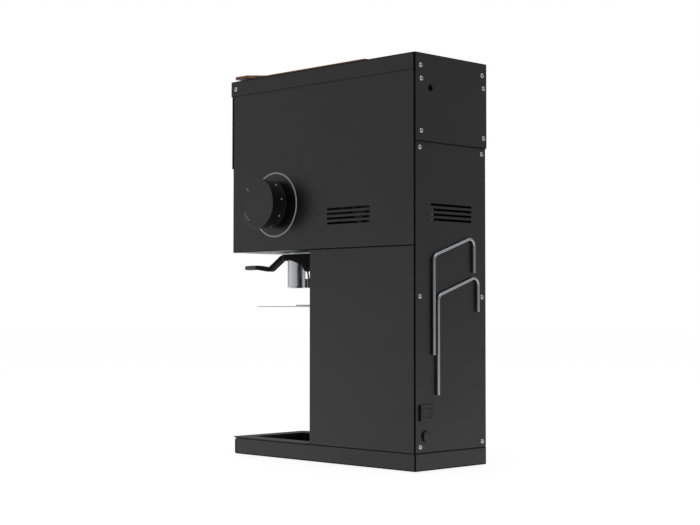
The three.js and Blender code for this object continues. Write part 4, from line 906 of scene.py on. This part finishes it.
def makeScrew(name, place, out, look):
    ahead = Vector(out)
    side = Vector((0, 0, 1)) if abs(ahead.z) < 0.5 else Vector((1, 0, 0))
    other = ahead.cross(side)
    r, crown, rise = look["head"] / 2 * mm, look["crown"] / 2 * mm, look["rise"] * mm
    flat, deep = look["socket"] / 2 * mm, look["socketDepth"] * mm
    steps = look["steps"]
    rim = look["rim"]
    rows = [(r, -look["foot"] * mm, False), (r, rim * rise, False)]
    rows += [(crown + (r - crown) * cos(a), rise * (rim + (1 - rim) * sin(a)), False)
             for a in (pi / 8, pi / 4, 3 * pi / 8, pi / 2)]
    rows += [(flat * look["mouth"], rise, True), (flat, rise - look["mouthDeep"] * mm, True),
             (flat, rise - deep, True)]
    loops = []
    for radius, along, hexagon in rows:
        loop = []
        for i in range(steps):
            angle = 2 * pi * i / steps
            reach = radius / cos((angle % (pi / 3)) - pi / 6) if hexagon else radius
            across = side * cos(angle) + other * sin(angle)
            loop.append(Vector(place) + ahead * along + across * reach)
        loops.append(loop)
    addSkin(name, loft(loops, fillFirst=True), "polished_steel", "body")


def makeScrews(look):
    rearLow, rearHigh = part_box("rear_panel_upper")
    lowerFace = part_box("rear_panel_lower")[1].y
    inset = look["rearInset"] * mm
    for i, height in enumerate(look["rearHeights"]):
        face = rearHigh.y if height * mm > rearLow.z else lowerFace
        for side, x in (("right", rearHigh.x - inset), ("left", rearLow.x + inset)):
            makeScrew(f"rear_screw_{side}_{i + 1}", (x, face, height * mm), (0, 1, 0), look)
    inset, shift = metres(look, "upperInset", "upperShift")
    for i, height in enumerate(look["upperHeights"]):
        for side, x in (("right", rearHigh.x - inset), ("left", rearLow.x + inset - shift)):
            makeScrew(f"rear_upper_screw_{side}_{i + 1}", (x, rearHigh.y, height * mm), (0, 1, 0), look)
    capLow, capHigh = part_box("top_cap")
    y = capLow.y + look["skirtInset"] * mm
    z = capHigh.z - look["skirtDrop"] * mm
    makeScrew("skirt_screw_right", (capHigh.x, y, z), (1, 0, 0), look)
    makeScrew("skirt_screw_left", (capLow.x, y, z), (-1, 0, 0), look)


makeScrews(screwLook)
print("screws made")

# Black strips as painted shade in the seams and under the tray's flange, and a rubber strip along the base's
# front
seamLook = {
    "proud": 0.15, "tall": 1.9, "lift": 0.15, "baseDeep": 1.2, "baseEnd": 1.5, "end": 1.0,
    "rearTall": 1.5, "rearDeep": 0.2, "upperDeep": 0.6,
    "flangeTall": 1.3, "flangeDeep": 0.9, "flangeStart": 3.0, "flangeSink": 0.1,
    "trimThick": 2.6, "trimTall": 25.0, "trimLift": 1.2, "trimInset": 0.3, "trimEdge": 0.6,
    "headDeep": 3.0, "headBack": 0.5, "headGap": 0.05,
}


# A black block, by default in the dull black that paints the shade of the seams
def addBlock(name, low, high, material=enamelAndSeamShade, edge=0.0):
    loops = [[(low[0], y, low[2]), (high[0], y, low[2]), (high[0], y, high[2]), (low[0], y, high[2])]
             for y in (low[1], high[1])]
    addSkin(name, loft(loops, fillFirst=True), "black_rubber", "body", material=material, edge=edge)


def makeSeams(look):
    baseLow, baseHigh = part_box("base_pan")
    rearLow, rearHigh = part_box("rear_panel_lower")
    columnLow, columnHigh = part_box("column_side_right")
    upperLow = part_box("rear_panel_upper")[0]
    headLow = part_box("head_side_right")[0]
    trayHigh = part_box("grounds_tray")[1]
    proud, tall, end, gap = metres(look, "proud", "tall", "end", "headGap")
    middle = baseHigh.z + look["lift"] * mm
    low, top = middle - tall / 2, middle + tall / 2
    under = baseHigh.z - look["flangeTall"] * mm
    sides = (("right", baseHigh.x, 1), ("left", baseLow.x, -1))

    # from how far under the side's face to how far over it, as a low and a high x
    def span(face, out, deep, over):
        return sorted((face - out * deep, face + out * over))

    # Painted shade: black strips along the seams at the base and under the head
    for side, face, out in sides:
        a, b = span(face, out, look["baseDeep"] * mm, proud)
        addBlock(f"base_seam_{side}", (a, columnLow.y, low), (b, rearHigh.y - look["baseEnd"] * mm, top))
    for side, face, out in sides:
        a, b = span(face, out, look["headDeep"] * mm, -look["headBack"] * mm)
        addBlock(f"head_seam_{side}", (a, columnLow.y + end, columnHigh.z + gap),
                 (b, columnHigh.y - end, headLow.z - gap))
    addBlock("base_seam_rear", (rearLow.x + end, rearHigh.y - end, low),
             (rearHigh.x, rearHigh.y + proud, top))
    down, deep, over = metres(look, "rearTall", "rearDeep", "upperDeep")
    addBlock("upper_seam_rear", (rearLow.x, rearHigh.y - deep, upperLow.z - down),
             (rearHigh.x, upperLow.y + over, upperLow.z))
    # Painted shadow: a black strip under the tray's flange
    start, sink = metres(look, "flangeStart", "flangeSink")
    for side, face, out in sides:
        a, b = span(face, out, look["flangeDeep"] * mm, proud)
        addBlock(f"flange_shadow_{side}", (a, baseLow.y + start, under), (b, trayHigh.y, baseHigh.z - sink))
    bottom, inset = baseLow.z + look["trimLift"] * mm, look["trimInset"] * mm
    addBlock("base_front_trim", (baseLow.x + inset, baseLow.y - look["trimThick"] * mm, bottom),
             (baseHigh.x - inset, baseLow.y + inset, bottom + look["trimTall"] * mm),
             finishes["black_rubber"], look["trimEdge"])


makeSeams(seamLook)

# Grommet of the reset hole
grommetLook = {
    "inner": 4.15, "outer": 6.0, "proud": 0.35, "shoulder": 0.6, "innerSlope": 0.3, "outerSlope": 0.4,
    "foot": 0.1, "deep": 1.2, "steps": 40,
}


def makeGrommet(look):
    low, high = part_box("reset_button")
    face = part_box("rear_panel_upper")[1].y
    inner, outer, proud, foot, deep = metres(look, "inner", "outer", "proud", "foot", "deep")
    near, far = metres(look, "innerSlope", "outerSlope")
    profile = [(inner, -deep), (inner, proud * look["shoulder"]), (inner + near, proud), (outer - far, proud),
               (outer, 0), (outer, -foot), (inner + foot, -foot), (inner + foot, -deep)]
    centre = Vector(((low.x + high.x) / 2, face, (low.z + high.z) / 2))
    addSkin("reset_grommet", turned(profile, (0, 1, 0), centre, look["steps"], closed=True), "black_rubber",
            "body", material=enamelAndSeamShade)


makeGrommet(grommetLook)

# Edging of the vent slots: a thin dip-coated lip round each slot and down its wall
ventLook = {
    "length": 100.0, "tall": 3.3, "pitch": 7.9, "count": 4, "lowest": 401.4, "sideAhead": 149.5, "rim": 0.45,
    "proud": 0.1, "deep": 1.5, "lap": 0.02, "foot": 0.05, "steps": 8,
}


def slotLoop(length, tall, steps):
    r = tall / 2
    loop = []
    for end, start in ((1, -pi / 2), (-1, pi / 2)):
        for i in range(steps + 1):
            angle = start + pi * i / steps
            loop.append((end * (length / 2 - r) + r * cos(angle), r * sin(angle)))
    return loop


def makeVentEdging(look):
    rearLow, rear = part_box("rear_panel_lower")
    rearMiddle = (rearLow.x + rear.x) / 2
    right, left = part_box("head_side_right")[1].x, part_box("head_side_left")[0].x
    sideMiddle = rear.y - look["sideAhead"] * mm
    rim, lap = look["rim"], look["lap"]
    proud, deep, foot = metres(look, "proud", "deep", "foot")
    spots = {
        "rear": lambda a, z, out: (rearMiddle + a, rear.y + out, z),
        "right": lambda a, z, out: (right + out, sideMiddle + a, z),
        "left": lambda a, z, out: (left - out, sideMiddle + a, z),
    }
    lips = ((-lap, -deep), (-lap, proud), (rim, proud), (rim, -foot))
    for name, spot in spots.items():
        skins = []
        for i in range(look["count"]):
            z = (look["lowest"] + i * look["pitch"]) * mm
            rows = []
            for grow, out in lips:
                loop = slotLoop(look["length"] + 2 * grow, look["tall"] + 2 * grow, look["steps"])
                rows.append([spot(a * mm, z + b * mm, out) for a, b in loop])
            skins.append(loft(rows, fillLast=False))
        addPiece(f"vent_edging_{name}", *together(skins), "black_rubber", "body", material=enamelAndSeamShade)


makeVentEdging(ventLook)
print("seams, grommet and vent edging made")

# Motor stay: a bright zinc strap across the frame, seen through the lower rear slots
stayLook = {
    "left": 2.5, "right": 33.0, "low": 399.0, "high": 421.0, "depth": 18.0, "thick": 1.5, "gap": 0.1,
    "edge": 0.2,
}


def makeStay(look):
    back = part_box("rear_panel_lower")[0].y - look["gap"] * mm
    x0, x1, z0, z1, thick, depth = metres(look, "left", "right", "low", "high", "thick", "depth")
    front = back - depth
    outline = [(back, z1), (back, z1 - thick), (front + thick, z1 - thick), (front + thick, z0), (front, z0),
               (front, z1)]
    loops = [[(x, y, z) for y, z in outline] for x in (x0, x1)]
    addSkin("motor_stay", loft(loops, fillFirst=True), "inner_steel", "body", edge=look["edge"])


makeStay(stayLook)
print("motor stay made")

# Stage: a white floor that keeps the shadow, in a studio with a broad pale wall at either side.
# The studio is dim towards the photographer and behind, so that bends and round steel show their shape.
stageLook = {
    "floorSize": 30.0, "floorColour": "#f7f7f7", "whiteShare": 0.82, "whiteStrength": 1.06,
    "rearFade": 0.7,        # how much less of the white paper the back's gloss shows,
    "rearWay": (-0.707, 0.707, 0.0),
    "rearSpan": (0.1, 0.9),  # from here to here along that way, metres
    "wallTurn": -45.0,      # the way that the bright walls lie, degrees from +X
    "dim": 0.2,
    "wall": 0.42,           # what the right wall adds to the dim level
    "farWall": 0.24,        # and the left one, behind the object's back
    "wallFall": 2.6, "zenith": 1.0, "zenithSpan": (0.25, 0.95),
}


def makeStage(look):
    half = look["floorSize"] / 2
    mesh = bpy.data.meshes.new("floor")
    corners = [(-half, -half, 0), (half, -half, 0), (half, half, 0), (-half, half, 0)]
    mesh.from_pydata(corners, [], [(0, 1, 2, 3)])
    floor = addObject("floor", mesh)
    material = bpy.data.materials.new("whitePaperSweep")
    tree = bareTree(material)
    rays = addNode(tree, "ShaderNodeLightPath").outputs
    paper = addNode(tree, "ShaderNodeBsdfDiffuse", {"Color": linear(look["floorColour"])})
    white = addNode(tree, "ShaderNodeEmission", {"Color": grey(1.0), "Strength": look["whiteStrength"]})
    seen = calc(tree, "MAXIMUM", rays["Is Camera Ray"], rays["Is Glossy Ray"])
    clear = calc(tree, "MAXIMUM", seen, rays["Is Transmission Ray"])
    share = calc(tree, "MULTIPLY", clear, look["whiteShare"])
    place = addNode(tree, "ShaderNodeTexCoord").outputs["Object"]
    behind = addNode(
        tree, "ShaderNodeVectorMath", {"operation": "DOT_PRODUCT", 1: look["rearWay"]}, {0: place})
    near, far = look["rearSpan"]
    fade = addNode(
        tree, "ShaderNodeMapRange", {"From Min": near, "From Max": far, "To Max": look["rearFade"]},
        {"Value": behind.outputs["Value"]})
    reflected = calc(tree, "MULTIPLY", rays["Is Glossy Ray"], fade.outputs["Result"])
    kept = calc(tree, "SUBTRACT", share, reflected)
    mixed = addNode(
        tree, "ShaderNodeMixShader",
        links={"Fac": kept, 1: paper.outputs["BSDF"], 2: white.outputs["Emission"]})
    addNode(tree, "ShaderNodeOutputMaterial", links={"Surface": mixed.outputs["Shader"]})
    mesh.materials.append(material)


def makeWorld(look):
    world = bpy.data.worlds.new("studio")
    bpy.context.scene.world = world
    tree = bareTree(world)
    ray = addNode(tree, "ShaderNodeTexCoord").outputs["Generated"]
    turn = radians(look["wallTurn"])
    along = addNode(
        tree, "ShaderNodeVectorMath",
        {"operation": "DOT_PRODUCT", 1: (cos(turn), sin(turn), 0.0)}, {0: ray})
    share = calc(tree, "ABSOLUTE", along.outputs["Value"])
    fall = calc(tree, "POWER", share, look["wallFall"])
    right = calc(tree, "GREATER_THAN", along.outputs["Value"], 0.0)
    gain = addNode(
        tree, "ShaderNodeMix", {"data_type": "FLOAT", 2: look["farWall"], 3: look["wall"]}, {"Factor": right})
    wall = calc(tree, "MULTIPLY_ADD", fall, gain.outputs["Result"], look["dim"])
    height = addNode(tree, "ShaderNodeSeparateXYZ", links={"Vector": ray})
    low, high = look["zenithSpan"]
    rise = addNode(
        tree, "ShaderNodeMapRange", {"From Min": low, "From Max": high, "interpolation_type": "SMOOTHSTEP"},
        {"Value": height.outputs["Z"]})
    studio = addNode(
        tree, "ShaderNodeMix", {"data_type": "FLOAT", 3: look["zenith"]},
        {"Factor": rise.outputs["Result"], 2: wall})
    rays = addNode(tree, "ShaderNodeLightPath").outputs
    seen = calc(tree, "MAXIMUM", rays["Is Camera Ray"], rays["Is Transmission Ray"])
    light = addNode(
        tree, "ShaderNodeBackground", {"Color": grey(1.0)}, {"Strength": studio.outputs["Result"]})
    white = addNode(tree, "ShaderNodeBackground", {"Color": grey(1.0), "Strength": 1.0})
    mixed = addNode(
        tree, "ShaderNodeMixShader",
        links={"Fac": seen, 1: light.outputs["Background"], 2: white.outputs["Background"]})
    addNode(tree, "ShaderNodeOutputWorld", links={"Surface": mixed.outputs["Shader"]})


# The soft box: place and size in metres, watts, and the height that it is aimed at
boxLook = {"name": "ceilingBox", "place": (0.3, 0.1, 2.6), "size": 2.4, "power": 22.0, "aim": 0.35}


def makeLight(box):
    data = bpy.data.lights.new(box["name"], "AREA")
    data.size = box["size"]
    data.energy = box["power"]
    lamp = addObject(box["name"], data)
    lamp.location = box["place"]
    aim = Vector((0, 0, box["aim"])) - Vector(box["place"])
    lamp.rotation_euler = aim.to_track_quat("-Z", "Y").to_euler()


makeStage(stageLook)
makeWorld(stageLook)
makeLight(boxLook)
print("stage and lights set")
